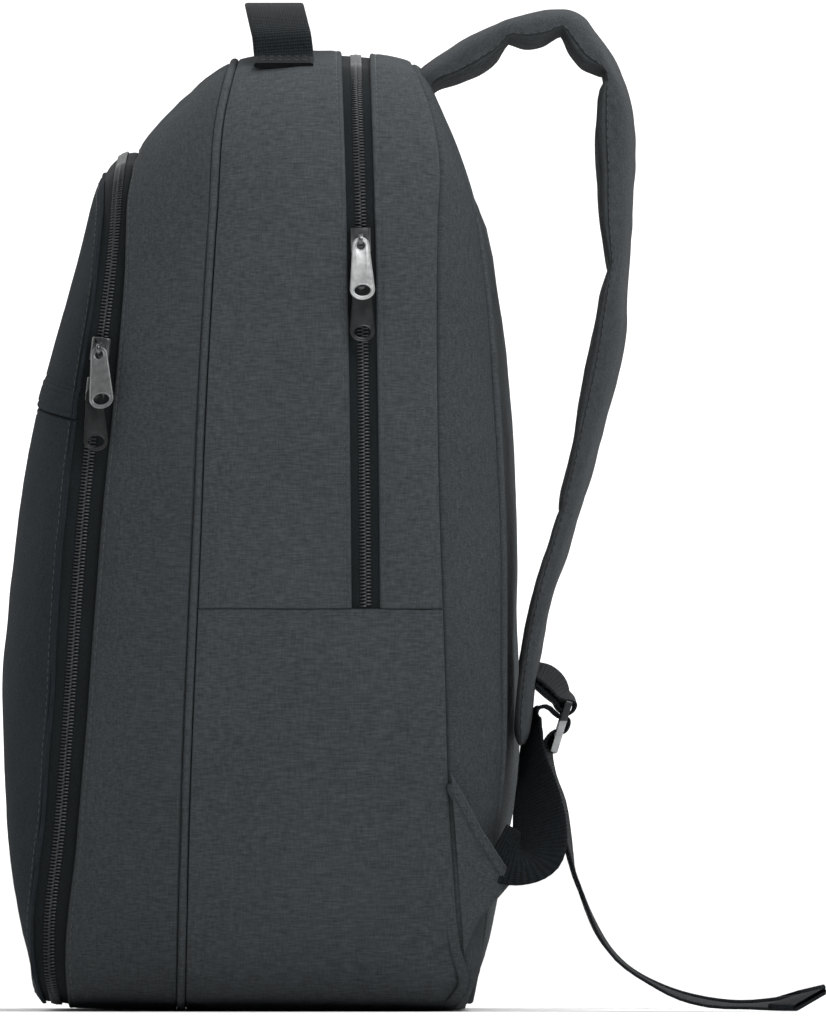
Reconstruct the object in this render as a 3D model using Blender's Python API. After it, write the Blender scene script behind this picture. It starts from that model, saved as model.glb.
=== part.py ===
"""Cooler backpack: a zipped cloth bag with a front compartment, two padded shoulder straps,
a carry handle and adjusting webbing. Metres, +Z up, +X towards the near side, +Y towards the
wearer's back. The origin lies on the flat bottom, half way along the bag's depth."""
import math

import bmesh
import bpy
import numpy as np
from mathutils import Vector

# Bag
BODY_WIDTH = 0.280
BODY_DEPTH = 0.225
BODY_HEIGHT = 0.420
WALL = 0.0035
BACK_PADDING = 0.008
SEAM_GAP = 0.0003
SIDE_SEAM_HEIGHT = 0.175
TOP_CORNER_RADIUS = 0.070
BOTTOM_CORNER_RADIUS = 0.022
TOP_ARCH_RISE = 0.005
PIPING_RADIUS = 0.0019
FRONT_CROWN_POWER = 3.0
BACK_CROWN_POWER = 2.6
TOP_ARCH_SHARE = 0.25

# Pocket opening across the front panel
POCKET_SEAM_HEIGHT = 0.265
POCKET_FLAP_HEIGHT = 0.0115
POCKET_FLAP_RISE = 0.0012
POCKET_ARCH = 0.0098

# Zips, sliders and pull tabs
TAPE_THICKNESS = 0.0014
TAPE_DROP = 0.0009
MAIN_ZIP_WIDTH = 0.0122
COIL_WIDTH = 0.005
COIL_RISE = 0.0013
COIL_CREST_SHARE = 0.6
SLIDER_LENGTH = 0.0105
SLIDER_WIDTH = 0.0086
SLIDER_PLATE = 0.0016
SLIDER_CLEARANCE = 0.0004
SLIDER_SPACING = 0.0175
SLIDER_BACK_SHARE = 0.72
BAIL_WIDTH = 0.0018
BAIL_THICKNESS = 0.0013
TAB_LENGTH = 0.0270
TAB_TOP_WIDTH = 0.0064
TAB_END_WIDTH = 0.0106
TAB_THICKNESS = 0.0013
TAB_BAR = 0.0014
TAB_BAIL_HOLE = 0.0046
TAB_GRIP_HOLE_WIDTH = 0.0072
TAB_GRIP_HOLE_LENGTH = 0.0054
TAB_CLEARANCE = 0.0004
TAB_HOLE_SIDES = 12
TAB_GRIP_HOLE_PLACE = 0.83
# Half outline of a pull tab: share of its length, share of its top width and of its end width
TAB_OUTLINE = ((0.052, 1.00, 0.00), (0.300, 1.06, 0.00), (0.780, 0.00, 0.96), (0.880, 0.00, 1.00),
               (0.945, 0.00, 0.86), (0.980, 0.00, 0.50))
TAB_BAR_SHARE = 0.72
MAIN_SLIDER_HEIGHT = 0.3355
FRONT_SLIDER_HEIGHT = 0.2880
# Degrees by which the upper and lower tab hang off the line of their zip, towards the back
MAIN_TAB_LEANS = (0.5, 0.0)
FRONT_TAB_LEANS = (12.5, 8.0)

# Webbing, handle and buckles
WEBBING_WIDTH = 0.025
WEBBING_THICKNESS = 0.0013
WEBBING_CLEARANCE = 0.0004
HANDLE_WIDTH = 0.026
HANDLE_THICKNESS = 0.0022
STRAP_WIDTH = 0.056
WING_THICKNESS = 0.0022
LOCK_THICKNESS = 0.0030
LOCK_BAR = 0.0036
LOCK_RAIL = 0.0024
LOCK_SLOT = 0.0049
LOCK_LOWER_SLOT = 0.0034
LOCK_THUMB = 0.0078
LOCK_TILT = math.radians(-17.0)
STRAP_END_RISE = 0.0165
STRAP_END_SPREAD = 0.0060
STRAP_END_SEAT = 1.4
# Short webbing between strap and buckle: shares of the way across and of the drop on that way
STRAP_END_FRONT = ((0.48, 0.14), (0.88, 0.50))
STRAP_END_BACK = (0.38, 0.16)
STRAP_END_LAST = 0.1

HALF_WIDTH = BODY_WIDTH / 2

# Seam lines of the bag, from front to back. Crest and radii are shares of the bag's height and
# of the corner radii, half is a share of the half width, foot is the seam's height at the bottom
# as a share of the bag's height. Lean rows are (height share, depth share from the origin).
SEAMS = {
    "panel_edge": dict(crest=0.876, half=0.886, corner=0.86, low_corner=1.05, foot=0.009, lean=(
        (0.000, -0.415), (0.028, -0.435), (0.080, -0.442), (0.198, -0.422), (0.552, -0.373),
        (0.630, -0.358), (0.740, -0.327), (0.812, -0.310), (0.876, -0.306))),
    "zip_rear": dict(crest=0.895, half=0.907, corner=0.90, low_corner=1.00, foot=0.006, lean=(
        (0.000, -0.372), (0.045, -0.378), (0.176, -0.356), (0.295, -0.338), (0.500, -0.309),
        (0.652, -0.281), (0.760, -0.262), (0.860, -0.250), (0.895, -0.236))),
    "front_pipe": dict(crest=0.990, half=0.979, corner=0.98, low_corner=0.96, foot=0.0045, lean=(
        (0.000, -0.153), (0.240, -0.142), (0.470, -0.124), (0.640, -0.111), (0.830, -0.090),
        (0.930, -0.076), (0.990, -0.051))),
    "back_seam": dict(crest=0.988, half=1.000, corner=1.00, low_corner=0.90, foot=0.0, lean=(
        (0.000, 0.374), (0.026, 0.404), (0.069, 0.389), (0.157, 0.374), (0.386, 0.358),
        (0.571, 0.347), (0.820, 0.346), (0.881, 0.349), (0.936, 0.330), (0.988, 0.293))),
    "back_pipe": dict(crest=0.962, half=0.850, corner=0.86, low_corner=1.05, foot=0.014, lean=(
        (0.000, 0.403), (0.050, 0.420), (0.121, 0.440), (0.233, 0.466), (0.386, 0.472),
        (0.500, 0.470), (0.617, 0.460), (0.733, 0.442), (0.826, 0.416), (0.895, 0.376),
        (0.962, 0.322))),
}

# Middle lines of the two crowned panels, as (height share, depth share) rows
FRONT_MIDDLE = ((0.000, -0.425), (0.016, -0.446), (0.055, -0.459), (0.114, -0.482), (0.219, -0.497),
                (0.364, -0.500), (0.512, -0.473), (0.636, -0.433), (0.705, -0.398), (0.788, -0.357),
                (0.855, -0.326), (0.876, -0.311))
BACK_MIDDLE = ((0.000, 0.409), (0.052, 0.444), (0.121, 0.467), (0.233, 0.501), (0.386, 0.501),
               (0.500, 0.498), (0.617, 0.489), (0.733, 0.467), (0.826, 0.440), (0.895, 0.391),
               (0.957, 0.338), (0.970, 0.322))
PANEL_INSETS = (0.92, 0.78, 0.55, 0.25)
PANEL_CENTRE_HEIGHT = 0.44

# Middle line of the main zip and the outward swell of the strips between the seams
ZIP_LEAN = ((0.000, 0.208), (0.414, 0.206), (0.700, 0.200), (0.843, 0.195), (1.000, 0.184))
MAIN_SWELL = 0.0055
MAIN_SWELL_SHARE = 0.2
FRONT_GUSSET_SWELL = 0.0042
BACK_GUSSET_SWELL = 0.0030
FACING_DOWN = -0.5

# Padded strap: outer and inner face in side view as shares of depth and height, distance from
# the middle as a share of the half width, and width as a share of the strap's width
STRAP_COLUMNS = ("outer_y", "outer_z", "inner_y", "inner_z", "side", "width")
STRAP_ROWS = (
    (0.3190, 0.9875, 0.3312, 0.9744, 0.39, 0.96),
    (0.3700, 1.0045, 0.3880, 0.9740, 0.39, 1.00),
    (0.4130, 1.0190, 0.4350, 0.9800, 0.40, 1.00),
    (0.4560, 1.0300, 0.4620, 0.9930, 0.40, 1.00),
    (0.4860, 1.0370, 0.4840, 1.0080, 0.41, 1.00),
    (0.5160, 1.0412, 0.5160, 1.0060, 0.41, 1.00),
    (0.5640, 1.0455, 0.5510, 1.0080, 0.42, 1.00),
    (0.6020, 1.0450, 0.5830, 1.0150, 0.42, 1.00),
    (0.6330, 1.0370, 0.6010, 1.0000, 0.43, 1.00),
    (0.6550, 1.0210, 0.6220, 0.9860, 0.43, 1.00),
    (0.6800, 1.0020, 0.6500, 0.9790, 0.44, 1.00),
    (0.7030, 0.9810, 0.6660, 0.9700, 0.44, 1.00),
    (0.7210, 0.9560, 0.6560, 0.9560, 0.45, 1.00),
    (0.7320, 0.9160, 0.6490, 0.9180, 0.46, 1.00),
    (0.7340, 0.8740, 0.6530, 0.8740, 0.47, 1.00),
    (0.7290, 0.8210, 0.6580, 0.8210, 0.49, 1.00),
    (0.7220, 0.7760, 0.6700, 0.7750, 0.50, 0.99),
    (0.7180, 0.7430, 0.6580, 0.7430, 0.51, 0.99),
    (0.7150, 0.7070, 0.6440, 0.7070, 0.52, 0.98),
    (0.6900, 0.6360, 0.6200, 0.6400, 0.55, 0.97),
    (0.6500, 0.5620, 0.5930, 0.5660, 0.58, 0.95),
    (0.6110, 0.4950, 0.5650, 0.5000, 0.61, 0.93),
    (0.5690, 0.4260, 0.5260, 0.4280, 0.64, 0.90),
    (0.5460, 0.3740, 0.5070, 0.3750, 0.66, 0.87),
    (0.5330, 0.3310, 0.4980, 0.3315, 0.68, 0.84),
    (0.5190, 0.2760, 0.4960, 0.2760, 0.69, 0.78),
)
STRAP_TWIST = math.radians(3.5)
# Share of the bag's height over which the strap's twist fades out towards its lower end
STRAP_TWIST_FADE = (0.35, 0.60)
STRAP_SIDES = 10
STRAP_EDGE_POWER = 0.45
STRAP_FACE_POWER = 0.75
STRAP_FACE_ROWS = 6

# Buckle: place of its upper bar, shares of half width, depth and height
LOCK_PLACE = (0.69, 0.5978, 0.3167)

# The webbing's way through the buckle: where along it, shift from there as a share of a bar, and
# how far out, from -1 behind the buckle to 1 in front of it
ROUTE_SLACK = 0.0002
ROUTE_ROWS = (("crossing", 0.0, -0.9), ("crossing", 0.0, 0.0), ("crossing", 0.15, 0.8), ("bar", -0.3, 1.0),
              ("bar", 0.3, 1.0), ("lower", -0.13, 0.7), ("lower", 0.0, 0.0), ("lower", 0.06, -0.8),
              ("thumb", 0.28, -1.0), ("end", 0.0, -1.0))

# Webbing between the wing and the buckle, and its free tail. Columns: shares of half
# width, depth and height, then the direction of the webbing's width as x, y and z.
LOAD_ROWS = (
    (0.9710, 0.4655, 0.1636, 0.10, 0.56, -0.83),
    (0.9560, 0.4950, 0.1640, 0.14, 0.34, -0.93),
    (0.9250, 0.5220, 0.1720, 0.25, 0.66, -0.70),
    (0.8800, 0.5350, 0.1900, 0.45, 0.84, -0.30),
    (0.8250, 0.5370, 0.2190, 0.68, 0.73, -0.05),
    (0.7600, 0.5270, 0.2560, 0.90, 0.42, 0.00),
    (0.7150, 0.5270, 0.2790, 0.99, 0.12, 0.00),
    (0.6900, 0.5300, 0.3010, 1.00, 0.00, 0.00),
    (0.6900, 0.5400, 0.3140, 1.00, 0.00, 0.00),
    (0.6900, 0.5560, 0.3165, 1.00, 0.00, 0.00),
)
TAIL_ROWS = (
    (0.6930, 0.5640, 0.2450, 0.98, -0.17, 0.00),
    (0.7000, 0.5820, 0.2190, 0.98, -0.17, 0.00),
    (0.7150, 0.5955, 0.1810, 0.99, -0.12, 0.00),
    (0.7400, 0.6090, 0.1450, 1.00, 0.00, 0.00),
    (0.7650, 0.6270, 0.1190, 1.00, 0.00, 0.00),
    (0.8200, 0.6640, 0.0750, 1.00, -0.10, 0.06),
    (0.8800, 0.7110, 0.0450, 0.98, -0.16, 0.10),
    (0.9500, 0.7730, 0.0250, 0.96, -0.24, 0.10),
    (1.0200, 0.8400, 0.0130, 0.93, -0.36, 0.00),
    (1.0850, 0.9020, 0.0075, 0.90, -0.42, -0.04),
    (1.1600, 0.9770, 0.0082, 0.86, -0.46, -0.16),
    (1.2300, 1.0400, 0.0110, 0.82, -0.48, -0.30),
    (1.2900, 1.0930, 0.0126, 0.80, -0.48, -0.34),
)

# Cloth wing in the back seam: outline in side view, shares of depth and height
WING_OUTLINE = ((0.3700, 0.2475), (0.4290, 0.1872), (0.4930, 0.1362), (0.4680, 0.1205),
                (0.4290, 0.0976), (0.4110, 0.0790), (0.3950, 0.0571))
WING_ROOT_LIFT = 0.0012
WING_SLANT = 0.38

# Handle: half of its arch, as shares of the half span between its feet and of its rise
HANDLE_HALF_SPAN = BODY_WIDTH * 0.3357
HANDLE_RISE = 0.0195
HANDLE_PLACE = BODY_DEPTH * 0.0658
HANDLE_FORWARD = 0.0045
HANDLE_FOOT = 0.016
HANDLE_SEAT = 1.35
HANDLE_ARCH = ((0.92, 0.20), (0.782, 0.52), (0.552, 0.82), (0.276, 0.96), (0.0, 1.0))

# Colours and finish: base colour, roughness, metallic
FINISHES = {
    "cloth": ((0.060, 0.070, 0.074), 0.90, 0.0),
    "front_cloth": ((0.026, 0.031, 0.036), 0.90, 0.0),
    "webbing": ((0.016, 0.020, 0.023), 0.80, 0.0),
    "tape": ((0.013, 0.016, 0.018), 0.85, 0.0),
    "moulding": ((0.012, 0.013, 0.014), 0.45, 0.0),
    "slider_metal": ((0.030, 0.030, 0.032), 0.35, 1.0),
    "tab_metal": ((0.340, 0.350, 0.350), 0.30, 1.0),
}


def clear_scene():
    for thing in list(bpy.data.objects):
        bpy.data.objects.remove(thing, do_unlink=True)


def finish(name):
    material = bpy.data.materials.get(name)
    if material is None:
        colour, roughness, metallic = FINISHES[name]
        material = bpy.data.materials.new(name)
        material.use_nodes = True
        shader = material.node_tree.nodes["Principled BSDF"]
        shader.inputs["Base Color"].default_value = (*colour, 1.0)
        shader.inputs["Roughness"].default_value = roughness
        shader.inputs["Metallic"].default_value = metallic
        material.diffuse_color = (*colour, 1.0)
    return material


def add_piece(name, vertices, faces, finish_name, origin=(0.0, 0.0, 0.0)):
    """One closed solid with its object's origin at the given point."""
    centre = Vector(origin)
    mesh = bpy.data.meshes.new(name)
    mesh.from_pydata([Vector(v) - centre for v in vertices], [], faces)
    tidy = bmesh.new()
    tidy.from_mesh(mesh)
    bmesh.ops.recalc_face_normals(tidy, faces=tidy.faces)
    tidy.to_mesh(mesh)
    tidy.free()
    mesh.shade_smooth()
    mesh.set_sharp_from_angle(angle=math.radians(35))
    mesh.materials.append(finish(finish_name))
    piece = bpy.data.objects.new(name, mesh)
    piece.location = centre
    bpy.context.scene.collection.objects.link(piece)
    return piece


def unit(vectors):
    """Unit vectors of an array whose last axis holds the coordinates."""
    vectors = np.asarray(vectors, dtype=float)
    return vectors / np.linalg.norm(vectors, axis=-1, keepdims=True)


def depth_at(rows, height):
    """Y of a line given as (height share, depth share) rows, at a height in metres."""
    table = np.array(rows)
    return np.interp(height / BODY_HEIGHT, table[:, 0], table[:, 1]) * BODY_DEPTH


def side_outline(half_width, crest, corner, low_corner, foot):
    """Half of a seam's upright outline, bottom middle to top middle, as (x, z) points."""
    shoulder = crest - TOP_ARCH_RISE
    points = [(0.0, foot), ((half_width - low_corner) / 2, foot)]
    for angle in np.radians((-90, -60, -30, 0)):
        points.append((half_width - low_corner + low_corner * math.cos(angle),
                       foot + low_corner + low_corner * math.sin(angle)))
    hip = points[-1][1]
    for share in (0.5, 1.0):
        points.append((half_width, hip + (SIDE_SEAM_HEIGHT - hip) * share))
    for share in (0.25, 0.5, 0.75, 1.0):
        points.append((half_width, SIDE_SEAM_HEIGHT + (shoulder - corner - SIDE_SEAM_HEIGHT) * share))
    for angle in np.radians((15, 30, 45, 60, 75, 90)):
        points.append((half_width - corner + corner * math.cos(angle),
                       shoulder - corner + corner * math.sin(angle)))
    points.append(((half_width - corner) / 2, crest - TOP_ARCH_RISE * TOP_ARCH_SHARE))
    points.append((0.0, crest))
    return points


def whole_outline(half):
    """Closed outline from its +X half, going up the +X side and down the other."""
    mirrored = [(-x, z) for x, z in half[-2:0:-1]]
    return np.array(half + mirrored)


def seam_line(row):
    outline = whole_outline(side_outline(
        HALF_WIDTH * row["half"], BODY_HEIGHT * row["crest"], TOP_CORNER_RADIUS * row["corner"],
        BOTTOM_CORNER_RADIUS * row["low_corner"], BODY_HEIGHT * row["foot"]))
    return np.array([(x, depth_at(row["lean"], z), z) for x, z in outline])


def outward(line_a, line_b):
    """Outward normals and front-to-back directions of the ruled strip between two lines."""
    middle = (line_a + line_b) / 2
    along = unit(np.roll(middle, -1, axis=0) - np.roll(middle, 1, axis=0))
    across = line_b - line_a
    across = unit(across - along * np.sum(across * along, axis=1, keepdims=True))
    return unit(np.cross(across, along)), across


def swollen(line_a, line_b, shares, swell, level=False):
    """A line between two seams, pushed outwards, but not at the bottom, which may be level."""
    normals, _ = outward(line_a, line_b)
    shares = np.broadcast_to(np.reshape(shares, (-1, 1)), (len(line_a), 1))
    push = np.where(normals[:, 2:3] < FACING_DOWN, 0.0, swell * np.sqrt(np.sin(math.pi * shares)))
    line = line_a + (line_b - line_a) * shares + normals * push
    if level:
        line[:, 2] = np.where(line_b[:, 2] < SEAM_GAP, line_b[:, 2], line[:, 2])
    return line


def panel_inset(edge, middle_rows, share, power):
    """A smaller ring on a crowned panel, between its edge (1) and its centre (0)."""
    centre = np.array((0.0, 0.0, BODY_HEIGHT * PANEL_CENTRE_HEIGHT))
    ring = centre + (edge - centre) * share
    crown = np.array([depth_at(middle_rows, z) for z in ring[:, 2]])
    ring[:, 1] = crown + (edge[:, 1] - np.array([depth_at(middle_rows, z) for z in edge[:, 2]])) * share ** power
    return ring


def main_zip_line(offset):
    """Edge line of the main zip, on the swollen surface between piping and back seam."""
    front, back = seam_line(SEAMS["front_pipe"]), seam_line(SEAMS["back_seam"])
    goals = np.array([depth_at(ZIP_LEAN, height) + offset for height in front[:, 2]])
    shares = (goals - front[:, 1]) / (back[:, 1] - front[:, 1])
    return swollen(front, back, shares, MAIN_SWELL, level=True)


class Skin:
    """The bag's outer skin as a row of named lines from the front centre to the back centre."""

    def __init__(self):
        panel, front, pipe, back, rear = (seam_line(SEAMS[name]) for name in SEAMS)
        zip_front, zip_back = main_zip_line(-MAIN_ZIP_WIDTH / 2), main_zip_line(MAIN_ZIP_WIDTH / 2)
        insets = [(f"front_{share}", panel_inset(panel, FRONT_MIDDLE, share, FRONT_CROWN_POWER))
                  for share in PANEL_INSETS[::-1]]
        back_insets = [(f"back_{share}", panel_inset(rear, BACK_MIDDLE, share, BACK_CROWN_POWER))
                       for share in PANEL_INSETS]
        rows = insets + [
            ("panel_edge", panel), ("zip_rear", front),
            ("front_swell", swollen(front, pipe, 0.5, FRONT_GUSSET_SWELL)), ("front_pipe", pipe),
            ("main_swell", swollen(pipe, back, MAIN_SWELL_SHARE, MAIN_SWELL, level=True)), ("zip_front", zip_front),
            ("zip_back", zip_back), ("back_seam", back),
            ("back_swell", swollen(back, rear, 0.5, BACK_GUSSET_SWELL)), ("back_pipe", rear),
        ] + back_insets
        self.names = [name for name, _ in rows]
        self.lines = [line for _, line in rows]
        strips = [outward(a, b) for a, b in zip(self.lines, self.lines[1:])]
        self.normals = [strips[0][0]] + [unit(strips[i - 1][0] + strips[i][0])
                                         for i in range(1, len(strips))] + [strips[-1][0]]
        self.stretch = [1 / np.sum(self.normals[i] * strips[min(i, len(strips) - 1)][0],
                                   axis=1, keepdims=True) for i in range(len(self.lines))]
        self.strips = strips

    def index(self, name):
        return self.names.index(name)

    def inset_edge(self, name, gap, forward):
        """A seam line moved along one neighbouring strip, so that a gap is left at the seam."""
        i = self.index(name)
        across = self.strips[i if forward else i - 1][1] * (1 if forward else -1)
        plain = across - self.normals[i] * np.sum(across * self.normals[i], axis=1, keepdims=True)
        return self.lines[i] + across * gap / np.linalg.norm(plain, axis=1, keepdims=True)

    def layer(self, first, last, gaps, depth):
        """The lines between two seams at a depth under the skin."""
        i, j = self.index(first), self.index(last)
        rows = [self.inset_edge(first, gaps[0], True)] + self.lines[i + 1:j]
        rows.append(self.inset_edge(last, gaps[1], False))
        return [row - self.normals[i + k] * self.stretch[i + k] * depth for k, row in enumerate(rows)]


def seam_faces(outer, inner, count):
    """Triangles between the outer and inner line at a seam, split alike on both sides of it."""
    faces = []
    for k in range(count):
        n = (k + 1) % count
        faces += [(outer + k, outer + n, inner + n), (outer + k, inner + n, inner + k)]
    return faces


def skin_faces(row, other, count):
    """Four-sided faces between two neighbouring lines of a closed loop."""
    return [(row + k, row + (k + 1) % count, other + (k + 1) % count, other + k) for k in range(count)]


def loop_band(outer, inner):
    """Closed ring-shaped solid whose section is bounded by outer and inner lines."""
    section = list(outer) + list(inner)[::-1]
    count = len(section[0])
    vertices = [tuple(p) for line in section for p in line]
    faces = []
    for row in range(len(section) - 1):
        if row != len(outer) - 1:
            faces += skin_faces(row * count, (row + 1) * count, count)
    faces += seam_faces((len(outer) - 1) * count, len(outer) * count, count)
    faces += seam_faces(0, (len(section) - 1) * count, count)
    return vertices, faces


def capped_panel(outer, inner):
    """Closed panel: rings from the centre to the edge, both sides closed at the centre."""
    count = len(outer[0])
    section = list(outer) + list(inner)[::-1]
    vertices = [tuple(p) for line in section for p in line]
    faces = []
    for row in range(len(section) - 1):
        if row != len(outer) - 1:
            faces += skin_faces(row * count, (row + 1) * count, count)
    faces += seam_faces((len(outer) - 1) * count, len(outer) * count, count)
    for row in (0, len(section) - 1):
        vertices.append(tuple(np.mean(section[row], axis=0)))
        hub = len(vertices) - 1
        for k in range(count):
            faces.append((row * count + k, row * count + (k + 1) % count, hub))
    return vertices, faces


def bend(shape, arch):
    """Lifts a shape towards both sides by an arch's rise at half the bag's width."""
    for vertex in shape.verts:
        vertex.co.z += arch * (vertex.co.x / HALF_WIDTH) ** 2


def keep_level(piece, height, above, arch=0.0):
    """Cuts a piece along a level or arched line, keeps one side of it and closes the cut."""
    shape = bmesh.new()
    shape.from_mesh(piece.data)
    bend(shape, arch)
    everything = shape.verts[:] + shape.edges[:] + shape.faces[:]
    cut = bmesh.ops.bisect_plane(shape, geom=everything, plane_co=(0, 0, height), plane_no=(0, 0, 1),
                                 clear_inner=above, clear_outer=not above)
    rim = [item for item in cut["geom_cut"] if isinstance(item, bmesh.types.BMEdge)]
    bmesh.ops.holes_fill(shape, edges=rim)
    bmesh.ops.triangulate(shape, faces=[face for face in shape.faces if len(face.verts) > 4])
    bmesh.ops.recalc_face_normals(shape, faces=shape.faces)
    bend(shape, -arch)
    shape.to_mesh(piece.data)
    shape.free()
    return piece


def add_band(skin, name, first, last, gaps, finish_name, thickness=WALL):
    outer = skin.layer(first, last, gaps, 0.0)
    inner = skin.layer(first, last, gaps, thickness)
    return add_piece(name, *loop_band(outer, inner), finish_name)


def add_zip(skin, name, first, last, gap):
    """Zip tape with the raised coil along its middle."""
    edges = skin.layer(first, last, (gap, gap), TAPE_DROP)
    under = skin.layer(first, last, (gap, gap), TAPE_DROP + TAPE_THICKNESS)
    normals, across = skin.strips[skin.index(first)]
    middle = (edges[0] + edges[1]) / 2
    half = COIL_WIDTH / 2
    ridge = [middle + across * offset + normals * rise for offset, rise in (
        (-half, 0.0), (-half * COIL_CREST_SHARE, COIL_RISE), (half * COIL_CREST_SHARE, COIL_RISE), (half, 0.0))]
    return add_piece(name, *loop_band([edges[0], *ridge, edges[1]], under), "tape")


def add_piping(skin, name, seam):
    """Cord-filled piping that lies in the gap between two strips."""
    i = skin.index(seam)
    normals = skin.normals[i]
    across = unit(skin.strips[i][1] - normals * np.sum(skin.strips[i][1] * normals, axis=1, keepdims=True))
    lines = [skin.lines[i] + (across * math.cos(angle) + normals * math.sin(angle)) * PIPING_RADIUS
             for angle in np.linspace(0, 2 * math.pi, 6, endpoint=False)]
    return add_piece(name, *loop_band(lines[:4], lines[:3:-1]), "cloth")


def add_front_panel(skin):
    """Front panel in three pieces, parted at the covered pocket opening."""
    rings = [line for name, line in zip(skin.names, skin.lines) if name.startswith("front_0")]
    flap_top = POCKET_SEAM_HEIGHT + POCKET_FLAP_HEIGHT
    pieces = (("front_panel_top", 0.0, ((flap_top + SEAM_GAP / 2, True),)),
              ("pocket_flap", POCKET_FLAP_RISE,
               ((flap_top - SEAM_GAP / 2, False), (POCKET_SEAM_HEIGHT + SEAM_GAP / 2, True))),
              ("front_pocket", 0.0, ((POCKET_SEAM_HEIGHT - SEAM_GAP / 2, False),)))
    edge = skin.inset_edge("panel_edge", SEAM_GAP / 2, False)
    for name, rise, cuts in pieces:
        outer = [line + skin.normals[k] * skin.stretch[k] * rise for k, line in enumerate(rings + [edge])]
        inner = [line - skin.normals[k] * skin.stretch[k] * WALL for k, line in enumerate(rings + [edge])]
        piece = add_piece(name, *capped_panel(outer, inner), "front_cloth")
        for height, above in cuts:
            keep_level(piece, height, above, POCKET_ARCH)


def add_back_panel(skin, gap):
    rings = [line for name, line in zip(skin.names, skin.lines) if name.startswith("back_0")]
    first = skin.index("back_pipe")
    lines = [skin.inset_edge("back_pipe", gap, True)] + rings
    inner = [line - skin.normals[first + k] * skin.stretch[first + k] * BACK_PADDING
             for k, line in enumerate(lines)]
    add_piece("back_panel", *capped_panel(lines[::-1], inner[::-1]), "cloth")


def build_bag(skin):
    fine = SEAM_GAP / 2
    piped = PIPING_RADIUS + SEAM_GAP
    add_front_panel(skin)
    add_zip(skin, "front_zip", "panel_edge", "zip_rear", fine)
    add_band(skin, "front_gusset", "zip_rear", "front_pipe", (fine, piped), "cloth")
    add_piping(skin, "front_piping", "front_pipe")
    seam_top, seam_foot = SIDE_SEAM_HEIGHT + fine, SIDE_SEAM_HEIGHT - fine
    keep_level(add_band(skin, "front_main_gusset", "front_pipe", "zip_front", (piped, fine), "cloth"),
               seam_top, True)
    keep_level(add_zip(skin, "main_zip", "zip_front", "zip_back", fine), seam_top, True)
    keep_level(add_band(skin, "rear_gusset", "zip_back", "back_seam", (fine, fine), "cloth"),
               seam_top, True)
    keep_level(add_band(skin, "lower_body", "front_pipe", "back_seam", (piped, fine), "cloth"),
               seam_foot, False)
    add_band(skin, "back_gusset", "back_seam", "back_pipe", (fine, piped), "cloth")
    add_piping(skin, "back_piping", "back_pipe")
    add_back_panel(skin, piped)


def smooth_rows(rows, steps):
    """Catmull-Rom curve through table rows, with a number of steps from row to row."""
    table = np.array(rows, dtype=float)
    padded = np.vstack((2 * table[0] - table[1], table, 2 * table[-1] - table[-2]))
    result = []
    for k in range(len(table) - 1):
        a, b, c, d = padded[k:k + 4]
        for t in np.arange(steps) / steps:
            result.append(0.5 * (2 * b + (c - a) * t + (2 * a - 5 * b + 4 * c - d) * t ** 2
                                 + (3 * b - a - 3 * c + d) * t ** 3))
    result.append(table[-1])
    return np.array(result)


def lofted(sections):
    """Closed solid through equal sections, with its two ends closed."""
    count = len(sections[0])
    vertices = [tuple(p) for section in sections for p in section]
    faces = [tuple(range(count)), tuple(range(len(vertices) - count, len(vertices)))]
    for row in range(len(sections) - 1):
        faces += skin_faces(row * count, (row + 1) * count, count)
    return vertices, faces


def ribbon(points, acrosses, width, thickness):
    """Flat webbing along points, its width turned towards the given directions."""
    points = np.asarray(points, dtype=float)
    before = unit(np.vstack((points[1] - points[0], np.diff(points, axis=0))))
    after = unit(np.vstack((np.diff(points, axis=0), points[-1] - points[-2])))
    sections = []
    for k, (point, across) in enumerate(zip(points, np.asarray(acrosses, dtype=float))):
        tangent = unit(before[k] + after[k])
        across = unit(across - tangent * np.dot(across, tangent))
        normal = np.cross(tangent, across)
        bend = max(np.dot(tangent, after[k]), 0.5)
        u, v = across * width / 2, normal * thickness / 2 / bend
        sections.append([point - u - v, point + u - v, point + u + v, point - u + v])
    return lofted(sections)


def strap_sections(mirror):
    """Sections of the padded strap, rounded at both long edges."""
    sections = []
    for values in smooth_rows(STRAP_ROWS, 1):
        row = dict(zip(STRAP_COLUMNS, values))
        outer = np.array((0.0, row["outer_y"] * BODY_DEPTH, row["outer_z"] * BODY_HEIGHT))
        inner = np.array((0.0, row["inner_y"] * BODY_DEPTH, row["inner_z"] * BODY_HEIGHT))
        centre = (outer + inner) / 2
        centre[0] = row["side"] * HALF_WIDTH
        width = row["width"] * STRAP_WIDTH
        twist = STRAP_TWIST * np.interp(row["outer_z"], STRAP_TWIST_FADE, (0.0, 1.0))
        seen = np.linalg.norm(outer - inner)
        normal = (outer - inner) / seen
        thickness = seen - width * math.sin(twist)
        across = np.array((math.cos(twist), *(-normal[1:] * math.sin(twist))))
        face = normal * math.cos(twist) + np.array((math.sin(twist), 0.0, 0.0))
        section = []
        for angle in np.linspace(0, 2 * math.pi, STRAP_SIDES, endpoint=False) + math.pi / STRAP_SIDES:
            c, s = math.cos(angle), math.sin(angle)
            u = math.copysign(abs(c) ** STRAP_EDGE_POWER, c) * width / 2
            v = math.copysign(abs(s) ** STRAP_FACE_POWER, s) * thickness / 2
            point = centre + across * u + face * v
            section.append((point[0] * mirror, point[1], point[2]))
        sections.append(section)
    return sections


def strap_face(height):
    """Y of the strap's outer face at a height near its lower end."""
    table = np.array([(row[1] * BODY_HEIGHT, row[0] * BODY_DEPTH) for row in STRAP_ROWS[-STRAP_FACE_ROWS:]])[::-1]
    return np.interp(height, table[:, 0], table[:, 1])


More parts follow.
